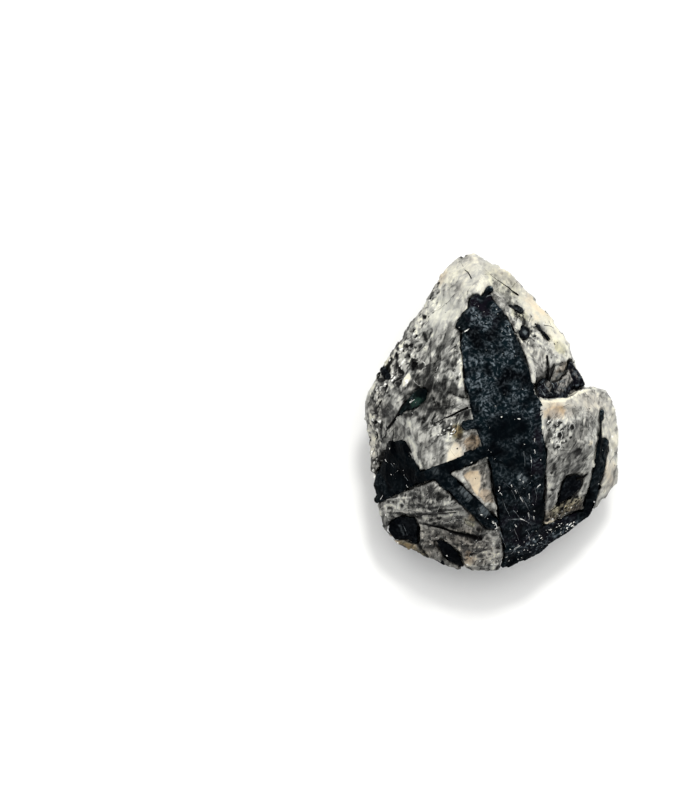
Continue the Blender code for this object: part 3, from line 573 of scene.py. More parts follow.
class BlackSettings(PropertyGroup):
    """Sizes and colours of the black crystals."""

    fineness: length("Fineness", "Width of the mesh's faces", 0.185)
    swelling: length("Swelling", "How far the crystals reach into the quartz around them", 0.08)
    bed: length("Bed", "How far the quartz lies below them", 0.40)
    grain_size: length("Grain size", "Width of the grains on the crystals", 0.60)
    grain_depth: length("Grain depth", "Height of the grains", 0.07)
    body: colour("Body", "The black", 0.0009, 0.0014, 0.0021)
    violet: colour("Violet", "The black with a violet tint", 0.0046, 0.0036, 0.0064)
    # The colour of the painted grey glints.
    painted_glints: colour("Painted glints", "The grey glints in it", 0.128, 0.154, 0.172)


class NeedleSettings(PropertyGroup):
    """The fine needles and the glints."""

    hairs: amount("Hairs", "How many fine black hairs there are", 220)
    threads: amount("Threads", "How many fine pale threads there are", 120)
    hair_radius: length("Hair radius", "Radius of the finest needles", 0.03)
    loose: amount("Loose", "How many more flakes and crumbs there are", 260)


class StageSettings(PropertyGroup):
    """The floor, the lights and the camera."""

    camera_distance: length("Camera distance", "From the camera to the chunk's outline", 1500)
    floor_colour: colour("Floor", "The pale floor", 0.93, 0.93, 0.92)


class ChunkSettings(PropertyGroup):
    """Everything that can be changed."""

    quartz: PointerProperty(type=QuartzSettings)
    black: PointerProperty(type=BlackSettings)
    needles: PointerProperty(type=NeedleSettings)
    stage: PointerProperty(type=StageSettings)


class Wire:
    """A shader socket that takes Python's arithmetic. Each operation adds its Math node."""

    def __init__(self, finish, socket):
        self.finish = finish
        self.socket = socket

    def math(self, operation, *values):
        return self.finish.node("ShaderNodeMath", {"operation": operation}, dict(enumerate(values)))

    def __add__(self, other):
        return self.math("ADD", self, other)

    def __sub__(self, other):
        return self.math("SUBTRACT", self, other)

    def __rsub__(self, other):
        return self.math("SUBTRACT", other, self)

    def __mul__(self, other):
        return self.math("MULTIPLY", self, other)

    def __truediv__(self, other):
        return self.math("DIVIDE", self, other)

    def __rtruediv__(self, other):
        return self.math("DIVIDE", other, self)

    def __abs__(self):
        return self.math("ABSOLUTE", self)

    __radd__ = __add__
    __rmul__ = __mul__

    def held(self):
        """The value kept between 0 and 1."""
        return self.finish.node("ShaderNodeClamp", values={"Value": self})

    def step(self, low, high):
        """0 below low, 1 above high, smooth between them. With high below low it falls instead."""
        values = {"Value": self, "From Min": low, "From Max": high}
        return self.finish.node("ShaderNodeMapRange", {"interpolation_type": "SMOOTHSTEP"}, values)


class Finish:
    """A material under construction. Sizes and shifts of its patterns are in millimetres."""

    def __init__(self, name):
        self.material = bpy.data.materials.new(name)
        self.material.use_nodes = True
        self.tree = self.material.node_tree
        self.shader = self.tree.nodes["Principled BSDF"]
        self.place = self.node("ShaderNodeTexCoord", out="Object")

    def node(self, kind, settings=None, values=None, out=0):
        """Adds a node with its settings, feeds its sockets, and gives one of its outputs."""
        made = self.tree.nodes.new(kind)
        for name, value in (settings or {}).items():
            if name == "stops":
                self.set_stops(made.color_ramp, value)
            else:
                setattr(made, name, value)
        for name, value in (values or {}).items():
            self.feed(made.inputs[name], value)
        return Wire(self, made.outputs[out])

    def set_stops(self, ramp, stops):
        while len(ramp.elements) < len(stops):
            ramp.elements.new(1.0)
        for element, (position, shade) in zip(ramp.elements, stops):
            element.position = position
            element.color = (*shade, 1)

    def feed(self, socket, value):
        if isinstance(value, Wire):
            self.tree.links.new(value.socket, socket)
        elif socket.type == "RGBA":
            socket.default_value = (*value, 1)
        else:
            socket.default_value = value

    def attributes(self, *names):
        return [self.node("ShaderNodeAttribute", {"attribute_name": name}, out="Fac") for name in names]

    def stretched(self, size, turn=0, shift=(0, 0, 0)):
        """The place on the piece, measured in lengths of size along axes turned about Z."""
        sizes = size if isinstance(size, tuple) else (size,) * 3
        values = {
            "Vector": self.place,
            "Location": [part * MM for part in shift],
            "Rotation": (0, 0, math.radians(turn)),
            "Scale": [part * MM for part in sizes],
        }
        return self.node("ShaderNodeMapping", {"vector_type": "TEXTURE"}, values)

    def cloud(self, size, turn=0, shift=(0, 0, 0), detail=1.0, rough=0.55, swirl=0.0):
        """Soft noise from 0 to 1, with spots of the given size."""
        place = self.stretched(size, turn, shift)
        values = {"Vector": place, "Scale": 1.0, "Detail": detail, "Roughness": rough, "Distortion": swirl}
        return self.node("ShaderNodeTexNoise", values=values)

    def hairlines(self, size, turn, shift, thin, swirl):
        """Thin bright lines, where a stretched noise passes its middle value."""
        wave = self.cloud(size, turn, shift, detail=1.5, rough=0.5, swirl=swirl)
        return abs(wave - 0.5).step(thin, 0.0)

    def creases(self, size, turn, shift, sharp, swirl):
        """Curved lines with painted light on one side and painted shade on the other, between -0.5 and 0.5.
        """
        wave = (self.cloud(size, turn, shift, swirl=swirl) - 0.5) * sharp
        return wave / (1.0 + wave * wave)

    def cells(self, size):
        """A flat value between 0 and 1 for each broken facet of the given width."""
        place = self.stretched(size)
        wander = self.node("ShaderNodeTexNoise", values={"Vector": place, "Scale": 1.6}, out="Color")
        moved = self.node(
            "ShaderNodeVectorMath", {"operation": "MULTIPLY_ADD"}, {0: wander, 1: (0.5,) * 3, 2: place}
        )
        cell = self.node("ShaderNodeTexVoronoi", values={"Vector": moved, "Scale": 1.0}, out="Color")
        return self.node("ShaderNodeSeparateColor", values={"Color": cell})

    def mix(self, factor, first, second, blend="MIX"):
        settings = {"data_type": "RGBA", "blend_type": blend}
        return self.node("ShaderNodeMix", settings, {0: factor, 6: first, 7: second}, out=2)

    def bump(self, height, distance):
        return self.node("ShaderNodeBump", values={"Height": height, "Distance": distance * MM})

    def done(self, **values):
        """Feeds the shader's sockets, where an underscore stands for a space, and gives the material."""
        for name, value in values.items():
            self.feed(self.shader.inputs[name.replace("_", " ")], value)
        return self.material


def quartz_finish(look):
    """Grey quartz, glassy and milky by turns, with creases, fibres and warm stains in it, and painted light
    and shade in its tone.
    """
    finish = Finish("cloudy quartz")
    shade, warmth, soot, broken, level, olive = finish.attributes(
        "shade", "warmth", "soot", "broken", "level", "olive"
    )
    veils = finish.cloud(4.5, swirl=0.8) - 0.5
    curls = finish.cloud(1.2, shift=(5, 3, 1), swirl=0.5) - 0.5
    upright = finish.cloud((7.0, 0.75, 2.4), 84, detail=1.4, swirl=0.2) - 0.5
    slanted = finish.cloud((5.5, 0.70, 2.4), 64, (9, 9, 0), detail=1.4, swirl=0.2) - 0.5
    lying = finish.cloud((7.0, 0.9, 3.0), 4, (5, 17, 0), detail=2, swirl=0.3) - 0.5
    patches = finish.cloud(6.0, shift=(31, 7, 3))
    flecks = finish.cloud((1.3, 0.48, 0.8), 74, (13, 2, 5), rough=0.6, swirl=0.3)
    crumbs = finish.cloud((1.2, 0.50, 0.8), 52, (3, 19, 8), rough=0.6, swirl=0.4)
    facets = finish.cells(1.9) - 0.5
    creases = finish.creases((3.4, 1.5, 2.2), 72, (2, 2, 0), 15, 0.6)
    folds = finish.creases((4.0, 1.5, 2.4), 20, (12, 5, 0), 13, 0.5)
    pale_hairs = finish.hairlines((3.0, 0.8, 1.4), 66, (3, 11, 0), 0.024, 0.5)
    dark_hairs = finish.hairlines((3.6, 0.9, 1.4), 48, (9, 21, 0), 0.022, 0.5)

    # How the tone drifts from the shade of the place, and less so where that is pale.
    drift = veils * 0.55 + curls * (0.48 + broken * 0.50) + facets * (0.05 + broken * 0.14)
    standing = upright * patches.step(0.60, 0.44) + slanted * patches.step(0.44, 0.58)
    drift += standing * (1.0 - level) * 0.64 + lying * level * 0.90
    # Creases and folds paint light and shade on the two sides of fine curved lines.
    drift += creases * 0.24 + folds * patches.step(0.40, 0.60) * 0.18
    drift += pale_hairs * patches.step(0.42, 0.58) * 0.14
    drift -= dark_hairs * patches.step(0.58, 0.44) * 0.20
    drift += flecks.step(0.55, 0.72) * (0.16 + broken * 0.20)
    drift -= crumbs.step(0.44, 0.30) * (0.14 + broken * 0.32)
    tone = (shade + drift * (1.0 - shade.step(0.50, 0.88) * 0.64) - soot).held()

    smoke, haze = Vector(look.smoke), Vector(look.haze)
    stops = ((0.0, smoke * 0.10), (0.22, smoke), (0.45, haze * 0.42), (0.68, haze), (1.0, look.milk))
    body = finish.node("ShaderNodeValToRGB", {"stops": stops}, {"Fac": tone}, out="Color")
    stained = finish.mix(0.20, finish.mix(1.0, body, look.stain, "MULTIPLY"), body)
    skin = finish.mix((warmth * (0.85 + veils * 1.4)).held(), body, stained)
    mossy = finish.mix(1.0, skin, look.olive, "MULTIPLY")
    skin = finish.mix((olive * (0.9 + curls * 1.2)).held(), skin, mossy)
    return finish.done(
        Base_Color=skin,
        Roughness=0.20 + patches * 0.20 + broken * 0.12,
        Normal=finish.bump(curls * 0.5 + creases * 0.10 + upright * 0.3 + facets * broken * 0.2, 0.20),
        IOR=1.55,
        Specular_IOR_Level=0.03,
        Transmission_Weight=0.15,
    )


def black_finish(look, name, painted_glint_share, tint, sheen_colour=(0.105, 0.122, 0.130)):
    """Glassy black crystal, with grey glints and a grey sheen painted into its colour. The third argument
    is how many painted grey glints it has, tint its faint colour.
    """
    finish = Finish(name)
    crust, sheen, violet, clear = finish.attributes("crust", "sheen", "violet", "clear")
    grain = finish.cloud((0.85, 0.50, 0.70), 24)
    fine = finish.cloud((0.62, 0.40, 0.55), -38, (7, 5, 2))
    motes = finish.cloud((0.75, 0.42, 0.60), 80, (3, 8, 6))
    broad = finish.cloud(3.0, shift=(4, 1, 8))
    scratches = finish.hairlines((6.0, 0.80, 1.2), 76, (2, 9, 0), 0.010, 0.1)
    stripes = finish.cloud((3.0, 0.35, 0.6), 60).step(0.40, 0.60)

    # The grey glints are painted into the colour: bright spots in the grain, scratch lines where it is less
    # crusted, fewer where the black is clear.
    glint_spots = grain.step(0.49, 0.78) * 0.80 + fine.step(0.51, 0.78) * 0.76 + motes.step(0.59, 0.78)
    painted_glints = glint_spots * (0.20 + crust * 0.80) * (0.12 + broad.step(0.36, 0.64) * 0.88)
    painted_glints += scratches * (1.0 - crust) * broad.step(0.50, 0.60) * 0.2
    painted_glints *= (1.0 - clear) * painted_glint_share
    tint_share = broad.step(0.30, 0.60) * (0.40 + crust * 0.60) * (1.0 - clear * 0.75)
    body = finish.mix(tint_share, look.body, Vector(look.body) + Vector(tint))
    body = finish.mix(violet, body, look.violet)
    skin = finish.mix(painted_glints.held(), body, look.painted_glints)
    # The grey sheen of some faces is painted in as well, striped.
    skin = finish.mix((sheen * (0.12 + stripes * 0.88)).held(), skin, sheen_colour)
    return finish.done(
        Base_Color=skin,
        Roughness=0.16 + broad * 0.10 + crust * 0.10,
        Normal=finish.bump((grain + fine) * (0.2 + crust * 0.5), 0.12),
        IOR=1.5,
        Specular_IOR_Level=0.003,
    )


def varied_finish(name, dark, light, size, shift=0):
    """A finish that wanders between two shades over the given size."""
    finish = Finish(name)
    tone = finish.cloud(size, shift=(shift,) * 3).step(0.38, 0.62)
    return finish.done(Base_Color=finish.mix(tone, dark, light), Roughness=0.3, Specular_IOR_Level=0.3)


def plain_finish(name, shade, rough, gloss=0.5):
    return Finish(name).done(Base_Color=shade, Roughness=rough, Specular_IOR_Level=gloss)


def together(*meshes):
    """One bmesh of all the meshes."""
    bm = bmesh.new()
    for mesh in meshes:
        bm.from_mesh(mesh)
    return bm


def mesh_of(bm, name):
    """The mesh of a bmesh that is then let go."""
    mesh = bpy.data.meshes.new(name)
    bm.to_mesh(mesh)
    bm.free()
    return mesh


def tree_of(*meshes):
    """The surface of the meshes, for rays to meet."""
    bm = together(*meshes)
    tree = BVHTree.FromBMesh(bm)
    bm.free()
    return tree


def solid_of(*nodes):
    """The merged mesh of some CAD nodes."""
    bm = together(*(frame["nodes"][node].data for node in nodes))
    bmesh.ops.remove_doubles(bm, verts=bm.verts[:], dist=1e-6)
    return mesh_of(bm, "solid")


def remade(data, width=None):
    """The mesh of a curve, or a mesh made again of even faces of one width, its bodies joined."""
    holder = bpy.data.objects.new("holder", data)
    bpy.context.scene.collection.objects.link(holder)
    if width:
        remesh = holder.modifiers.new("Remesh", "REMESH")
        remesh.mode = "VOXEL"
        remesh.voxel_size = width
    graph = bpy.context.evaluated_depsgraph_get()
    result = bpy.data.meshes.new_from_object(holder.evaluated_get(graph))
    bpy.data.objects.remove(holder)
    return result


def eased(mesh, times):
    """The mesh with the steps of its even faces smoothed."""
    bm = together(mesh)
    for _ in range(times):
        bmesh.ops.smooth_vert(
            bm, verts=bm.verts[:], factor=0.5, use_axis_x=True, use_axis_y=True, use_axis_z=True
        )
    return mesh_of(bm, "eased")


def vectors_of(rows, name):
    """Three numbers of every row, as an array."""
    found = np.empty(len(rows) * 3, np.float32)
    rows.foreach_get(name, found)
    return found.reshape(-1, 3).astype(float)


def points_of(mesh):
    return vectors_of(mesh.vertices, "co")


def normals_of(mesh):
    return vectors_of(mesh.vertex_normals, "vector")


def move_points(mesh, points):
    mesh.vertices.foreach_set("co", points.astype(np.float32).ravel())
    mesh.update()


def keep_values(mesh, **fields):
    """Stores a value for each point under each name, for the finishes to read."""
    for name, values in fields.items():
        attribute = mesh.attributes.new(name, "FLOAT", "POINT")
        attribute.data.foreach_set("value", np.asarray(values, np.float32))


def smooth_step(low, high, value):
    share = np.clip((value - low) / (high - low), 0, 1)
    return share * share * (3 - 2 * share)


def soft_noise(points, size, shift=0.0, octaves=2):
    """Noise between about -1 and 1 at each point."""
    scaled = points / size + shift
    return np.array([noise.fractal(Vector(p), 0.9, 2.1, octaves) for p in scaled])


def finder_of(points):
    """Finds the points that are near a place."""
    finder = KDTree(len(points))
    for number, point in enumerate(points):
        finder.insert(point, number)
    finder.balance()
    return finder


def chips(points, size, depth, seed):
    """Broken facets: the piece falls into cells, and each cell's surface is a tilted plane."""
    chance = np.random.default_rng(seed)
    low, high = points.min(0) - size, points.max(0) + size
    count = int(np.prod((high - low) / size))
    centres = chance.uniform(low, high, (count, 3))
    tilts = chance.normal(0, 1, (count, 3))
    tilts *= (depth / size) / np.linalg.norm(tilts, axis=1)[:, None] * CHIP_LEAN
    steps = chance.uniform(-0.5, 0.5, count) * depth
    finder = finder_of(centres)
    wander = np.stack([soft_noise(points, size * 0.5, shift) for shift in (3, 7, 11)], 1)
    owner = np.array([finder.find(point)[1] for point in points + CHIP_WANDER * size * wander])
    away = points - centres[owner]
    return np.clip((away * tilts[owner]).sum(1) + steps[owner], -depth, depth)


def breakage(points, look):
    """How far the whole chunk's surface stands in or out at each point, black and quartz alike."""
    return chips(points, look.chip_size, look.chip_depth, SEED)


def shift_out(points, normals, out):
    """How each point moves when it goes out along its normal. The flat foot stays where it is."""
    hold = smooth_step(*FOOT_EDGE, points[:, 2])
    return normals * (out * hold)[:, None]


def seen_share(points, normals):
    """1 where the surface is seen from above, and 0 where it looks down or is near the foot."""
    return smooth_step(-0.05, 0.30, normals[:, 2]) * (points[:, 2] > FRONT_FOOT)


def line_distance(points, places):
    """How far each point lies from a line through the places, seen from above."""
    places = np.array(places) * MM
    nearest = np.full(len(points), np.inf)
    for start, end in zip(places, places[1:]):
        along = end - start
        share = np.clip((points - start) @ along / (along @ along), 0, 1)
        nearest = np.minimum(nearest, np.linalg.norm(points - start - share[:, None] * along, axis=1))
    return nearest


def inside_share(points, corners):
    """1 inside a polygon, 0 outside it, with a narrow ramp between. Everything is seen from above."""
    nearest = line_distance(points, (*corners, corners[0]))
    corners = np.array(corners) * MM
    inside = np.zeros(len(points), bool)
    for a, b in zip(corners, np.roll(corners, -1, 0)):
        run, rise = b - a
        crosses = (a[1] > points[:, 1]) != (b[1] > points[:, 1])
        inside ^= crosses & (points[:, 0] < a[0] + (points[:, 1] - a[1]) * run / (rise or 1e-9))
    return smooth_step(-FACE_EDGE, FACE_EDGE, np.where(inside, nearest, -nearest))


def turned(x, y, turn):
    """The place x, y seen from axes turned by some degrees."""
    cosine, sine = math.cos(math.radians(turn)), math.sin(math.radians(turn))
    return x * cosine + y * sine, y * cosine - x * sine


def oval_share(points, x, y, long, wide, turn):
    """How far each point lies from the middle of a turned oval, 1 at its edge, seen from above."""
    along, across = turned(points[:, 0] - x * MM, points[:, 1] - y * MM, turn)
    return np.hypot(along / (long * MM), across / (wide * MM))


def oval_values(points, ovals):
    """How strong the ovals of a table are at each point, with a soft and wavy edge."""
    values = np.zeros(len(points))
    edge = 0.25 * soft_noise(points, 1.6 * MM, 7.0)
    for *oval, strength in ovals:
        values = np.maximum(values, smooth_step(1.25, 0.65, oval_share(points, *oval) + edge) * strength)
    return values


def spot_values(points):
    """1 in the small black spots of the front and 0 outside them."""
    inside = np.zeros(len(points))
    edge = 0.5 * soft_noise(points, 0.6 * MM, 4.0)
    for x, y, radius in SPOTS:
        away = oval_share(points, x, y, radius, radius, 0)
        inside = np.maximum(inside, smooth_step(1.25, 0.55, away + edge))
    return inside


def sheen_values(points):
    """How strong the painted grey sheen is at each point of a black crystal."""
    shares = [inside_share(points[:, :2], corners) * strength for strength, *corners in SHEENS.values()]
    return np.max(shares, axis=0)


def tone_and_painted_light_values(points, normals):
    """How light and how warm the quartz is at each point: its own tones and stains, with painted light and
    shade.
    """
    swirl = np.stack([soft_noise(points, 3.0 * MM, s, 3) for s in (1.5, 8.5)], 1) * 1.1 * MM
    flat = points[:, :2] + swirl
    front = smooth_step(-0.05, 0.35, normals[:, 2])
    shade = 0.46 + 0.10 * soft_noise(points, 7 * MM, 5.0)
    warmth = 0.02 + 0.10 * soft_noise(points, 5 * MM, 9.0)
    for *oval, lighter, warmer in VEILS_AND_PAINTED_LIGHT.values():
        veil_and_light = np.exp(-(oval_share(flat, *oval) ** 3)) * front
        shade += veil_and_light * lighter
        warmth += veil_and_light * warmer
    flat = points[:, :2] + swirl * 0.2
    high = seen_share(points, normals)
    for lighter, warmer, *corners in FACES.values():
        face = inside_share(flat, corners) * high
        shade += face * lighter
        warmth += face * warmer
    flat = points[:, :2] + swirl * 0.15
    uneven = 0.8 + 0.5 * soft_noise(points, 0.9 * MM, 6.0)
    for lighter, half_width, *places in STROKES:
        near = line_distance(flat, places) / (half_width * MM)
        shade += smooth_step(1.3, 0.3, near) * high * lighter * uneven
    return shade, np.clip(warmth, 0, 1)


def broken_values(points, normals):
    """1 where the quartz is rough and flaky, near 0 where it is smooth, and between on the sides."""
    broken = 0.55 * smooth_step(0.35, -0.05, normals[:, 2]) + 0.15 * soft_noise(points, 5 * MM, 3.0)
    return np.clip(np.maximum(broken, oval_values(points, BROKEN)), 0, 1)


def hit_below(tree, x, y):
    """The point of the surface straight below x, y in millimetres, and its normal."""
    return tree.ray_cast(Vector((x * MM, y * MM, RAY_HEIGHT)), Vector((0, 0, -1)))[:2]


def hit_from_outside(tree, way):
    """The point of the surface that is met on the way in to the middle, and its normal."""
    out = way.normalized()
    return tree.ray_cast(MIDDLE + out * RAY_REACH, -out)[:2]


def any_way(chance):
    """A random direction, of random length."""
    return Vector([chance.gauss(0, 1) for _ in range(3)])


def pit_places(tree, count):
    """Where the small pits are: on the rough left band, and scattered over the sides."""
    chance = random.Random(SEED)
    places = []
    while len(places) < count:
        if len(places) < count * PITS_ON_LEFT:
            # The band rises to the right, along the upper left edge.
            x = chance.uniform(*LEFT_BAND)
            y = 8.0 + (x + 15) * 1.5 + chance.uniform(-16, 7)
            hit, normal = hit_below(tree, x, y)
        else:
            way = any_way(chance)
            way.z *= 0.35
            hit, normal = hit_from_outside(tree, way)
        if hit is not None and normal.z > -0.5:
            places.append((hit, chance.uniform(*PIT_RADII) * MM))
    return places


def dig_pits(points, tree, count):
    """How deep each point lies in a pit, as a share and as a length."""
    finder = finder_of(points)
    share = np.zeros(len(points))
    depth = np.zeros(len(points))
    for place, radius in pit_places(tree, count):
        for _, number, distance in finder.find_range(place, radius):
            fall = 1 - (distance / radius) ** 2
            share[number] = max(share[number], fall)
            depth[number] = max(depth[number], fall * radius * PIT_DEPTH)
    return share, depth


def finished(name, mesh, finish, slot, *nodes):
    """Puts a mesh into the scene as a piece of the chunk."""
    mesh.name = name
    mesh.materials.clear()
    mesh.materials.append(finish)
    mesh.shade_smooth()
    piece = bpy.data.objects.new(name, mesh)
    bpy.context.scene.collection.objects.link(piece)
    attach(piece, "root")
    if nodes:
        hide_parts(*nodes)


def hull_planes(mesh):
    """The planes of the convex hull of a mesh: outward normals and how far out each lies."""
    bm = together(mesh)
    planes = set()
    for face in bmesh.ops.convex_hull(bm, input=bm.verts[:])["geom"]:
        if isinstance(face, bmesh.types.BMFace):
            face.normal_update()
            out = face.normal
            reach = out.dot(face.verts[0].co)
            if out.dot(MIDDLE) > reach:
                out, reach = -out, -reach
            planes.add((*(round(part, 3) for part in out), round(reach, 6)))
    bm.free()
    planes = np.array(sorted(planes))
    return planes[:, :3], planes[:, 3]


def kept_within(points, planes):
    """The points, with those that lie outside a plane moved back onto it."""
    for out, reach in zip(*planes):
        over = np.maximum(points @ out - reach, 0)
        points = points - over[:, None] * out
    return points


def laid_bare(points, normals, tree, bed):
    """The quartz points, with those that cover a black crystal sunk below its surface."""
    above, reach, alike = 0.7, 1.5, 0.75
    points = points.copy()
    for number, (point, normal) in enumerate(zip(points, normals)):
        out = Vector(normal)
        hit, facing, _, _ = tree.ray_cast(Vector(point) + out * above * MM, -out, reach * MM)
        if hit is not None and facing.dot(out) > alike:
            points[number] = hit - out * bed
    return points


class QUARTZ_OT_mass(Operator):
    """Makes the quartz, with its pockets closed around the black crystals"""

    bl_idname = "quartz_chunk.mass"
    bl_label = "Quartz mass"

    def execute(self, context):
        look = context.scene.quartz_chunk.quartz
        mesh = eased(self.filled(look.fineness), 2)
        points, normals = points_of(mesh), normals_of(mesh)
        pit_shade, pit_depth = dig_pits(points, tree_of(mesh), look.pits)
        shade, warmth = tone_and_painted_light_values(points, normals)
        broken = broken_values(points, normals)
        seen = seen_share(points, normals)
        # The pits are darkened with painted shade as well as being dug in.
        keep_values(
            mesh,
            shade=shade - pit_shade * 0.35,
            warmth=warmth,
            soot=spot_values(points) * seen,
            olive=oval_values(points, OLIVE) * seen,
            level=oval_values(points, LEVEL),
            broken=broken,
        )
        out = breakage(points, look)
        splinters = chips(points, look.splinter_size, look.splinter_depth, SEED + 1)
        out += splinters * (0.25 + 0.75 * broken)
        out += soft_noise(points, look.grain_size) * look.grain_depth * (0.6 + broken)
        out -= pit_depth
        core = remade(solid_of(*BLACK_NODES), look.fineness * 0.7)
        move_points(core, points_of(core) - normals_of(core) * CORE_INSET)
        bare = laid_bare(points, normals, tree_of(core), context.scene.quartz_chunk.black.bed)
        moved = bare + shift_out(points, normals, out)
        moved[:, 2] = np.maximum(moved[:, 2], 0)
        move_points(mesh, moved)
        finished("quartz", mesh, quartz_finish(look), "cloudy_quartz", QUARTZ)
        return {"FINISHED"}

    def filled(self, width):
        """The quartz joined with the black crystals, which are swollen to close their pockets."""
        filling = remade(solid_of(*BLACK_NODES), width)
        outward = normals_of(filling)
        outward[:, 2] = np.minimum(outward[:, 2], 0)
        planes = hull_planes(solid_of(QUARTZ))
        move_points(filling, kept_within(points_of(filling) + outward * POCKET_FILL, planes))
        return remade(mesh_of(together(solid_of(QUARTZ), filling), "joined"), width)


def black_piece(chunk, name, node, finish, grain=1.0, swelling=1.0):
    """One black crystal, swollen into the quartz around it and grained."""
    look = chunk.black
    mesh = eased(remade(solid_of(node), look.fineness), 1)
    points, normals = points_of(mesh), normals_of(mesh)
    crust = smooth_step(-6.0 * MM, 2.0 * MM, points[:, 1] + 1.5 * MM * soft_noise(points, 3 * MM))
    crust = np.maximum(crust * grain, oval_values(points, CRUSTED_BLACK))
    patchy = smooth_step(-0.3, 0.3, soft_noise(points, 2.0 * MM, 2.0))
    # crust and clear set how many grey glints are painted, sheen where a grey sheen is painted.
    keep_values(
        mesh,
        crust=crust,
        clear=oval_values(points, CLEAR_BLACK),
        sheen=sheen_values(points) * seen_share(points, normals),
        violet=oval_values(points, VIOLET_BLACK) * patchy * grain,
    )
    out = look.swelling * swelling + breakage(points, chunk.quartz)
    out += chips(points, look.grain_size, look.grain_depth, SEED + 2) * (0.4 + 0.6 * crust) * grain
    out += soft_noise(points, 0.45 * MM) * look.grain_depth * 0.35 * grain
    move_points(mesh, points + shift_out(points, normals, out))
    finished(name, mesh, finish, "black_crystal", node)


class QUARTZ_OT_blade(Operator):
    """Makes the broad black blade with the rods and the crust grown together with it"""

    bl_idname = "quartz_chunk.blade"
    bl_label = "Black blade"

    def execute(self, context):
        chunk = context.scene.quartz_chunk
        finish = black_finish(chunk.black, "grained black blade", 1.0, (0.002, 0.006, 0.008))
        black_piece(chunk, "black_blade", BLADE, finish)
        return {"FINISHED"}


class QUARTZ_OT_notch(Operator):
    """Makes the glossy black crystal in the notch"""

    bl_idname = "quartz_chunk.notch"
    bl_label = "Notch crystal"

    def execute(self, context):
        chunk = context.scene.quartz_chunk
        # The wedge's painted sheen is warm grey.
        warm = (0.27, 0.26, 0.24)
        finish = black_finish(chunk.black, "glossy black wedge", 0.9, (0.003, 0.002, 0.004), warm)
        black_piece(chunk, "black_wedge", WEDGE, finish, 0.6)
        return {"FINISHED"}


class QUARTZ_OT_small_crystals(Operator):
    """Makes the small black crystals of the front, the sides and the back"""

    bl_idname = "quartz_chunk.small_crystals"
    bl_label = "Small black crystals"

    def execute(self, context):
        chunk = context.scene.quartz_chunk
        black = black_finish(chunk.black, "small black crystal", 0.40, (0.002, 0.002, 0.003))
        # The green spot's sheen: its own green, with a painted glint.
        glint = (0.035, 0.085, 0.062)
        green = black_finish(chunk.black, "green-black crystal", 0.3, (0.001, 0.006, 0.004), glint)
        for node in BLACK_NODES:
            if node not in (BLADE, WEDGE):
                black_piece(chunk, node + "_skin", node, green if node == GREEN_SPOT else black, 0.5, 0.6)
        return {"FINISHED"}


def whole_tree():
    """The surface of the quartz and of every black crystal."""
    pieces = bpy.context.scene.objects
    named = ("quartz", "black_blade", "black_wedge")
    return tree_of(*(piece.data for piece in pieces if piece.name in named or piece.name.endswith("_skin")))


class QUARTZ_OT_needles(Operator):
    """Lays the fine black needles, the pale threads and the grey scratches in the surface, some threads and
    scratches standing for painted glints
    """

    bl_idname = "quartz_chunk.needles"
    bl_label = "Needles"

    def execute(self, context):
        look = context.scene.quartz_chunk.needles
        tree = whole_tree()
        ground = tree_of(bpy.data.objects["quartz"].data)
        black = plain_finish("black needle", (0.002, 0.002, 0.002), 0.35, 0.01)
        pale = varied_finish("pale thread", (0.40, 0.40, 0.38), (0.80, 0.80, 0.76), 1.5)
        grey = varied_finish("grey scratch", (0.010, 0.013, 0.016), (0.13, 0.15, 0.16), 0.9, 3)
        for name, named, hairs, slot, finish in (
            ("fine_black_needles", NEEDLES, look.hairs, "black_crystal", black),
            ("fine_pale_threads", THREADS, look.threads, "cloudy_quartz", pale),
            ("fine_grey_scratches", SCRATCHES, 0, "black_crystal", grey),
        ):
            chance = random.Random(name)
            lines = bpy.data.curves.new(name, "CURVE")
            lines.dimensions = "3D"
            lines.bevel_depth = 1.0
            lines.bevel_resolution = 0
            lines.use_fill_caps = True
            for radius, *places in named:
                self.add_needle(lines, self.front_path(tree, places, chance), radius * MM)
            for _ in range(hairs):
                path = self.random_path(ground, chance)
                self.add_needle(lines, path, look.hair_radius * chance.uniform(0.6, 1.6))
            finished(name, remade(lines), finish, slot)
        return {"FINISHED"}

    def add_needle(self, lines, path, radius):
        spline = lines.splines.new("POLY")
        spline.points.add(len(path) - 1)
        for number, (point, place) in enumerate(zip(spline.points, path)):
            point.co = (*place, 1)
            point.radius = radius * (1 - NEEDLE_TAPER * number / (len(path) - 1))

    def front_path(self, tree, places, chance):
        """Points along the front surface past some places, a little uneven, bridging small hollows."""
        path = [self.front_point(tree, *places[0])]
        for start, end in zip(places, places[1:]):
            steps = max(2, int((Vector(end) - Vector(start)).length / NEEDLE_STEP))
            for number in range(1, steps + 1):
                x, y = Vector(start).lerp(Vector(end), number / steps)
                x += chance.uniform(-NEEDLE_WANDER, NEEDLE_WANDER)
                y += chance.uniform(-NEEDLE_WANDER, NEEDLE_WANDER)
                path.append(self.front_point(tree, x, y))
        for _ in range(5):
            for before, here, after in zip(path, path[1:], path[2:]):
                here.z = max(here.z, (before.z + after.z) / 2)
        return path

    def front_point(self, tree, x, y):
        hit = hit_below(tree, x, y)[0]
        if hit is None:
            raise RuntimeError("nothing lies below x %.1f, y %.1f" % (x, y))
        return hit

    def random_path(self, tree, chance):
        """A short straight run over the surface anywhere but the foot."""
        while True:
            hit, normal = hit_from_outside(tree, any_way(chance))
            if hit is not None and normal.z > -0.4:
                break
        across = normal.cross(any_way(chance)).normalized()
        aside = normal.cross(across)
        run = chance.uniform(0.8, 1.0) * chance.choice(HAIR_LENGTHS) * MM
        bend = chance.uniform(-0.25, 0.25)
        steps = max(3, int(run / (0.4 * MM)))
        path = []
        for number in range(steps + 1):
            share = number / steps
            place = hit + across * run * share + aside * run * bend * share * share
            path.append(tree.find_nearest(place)[0])
        return path


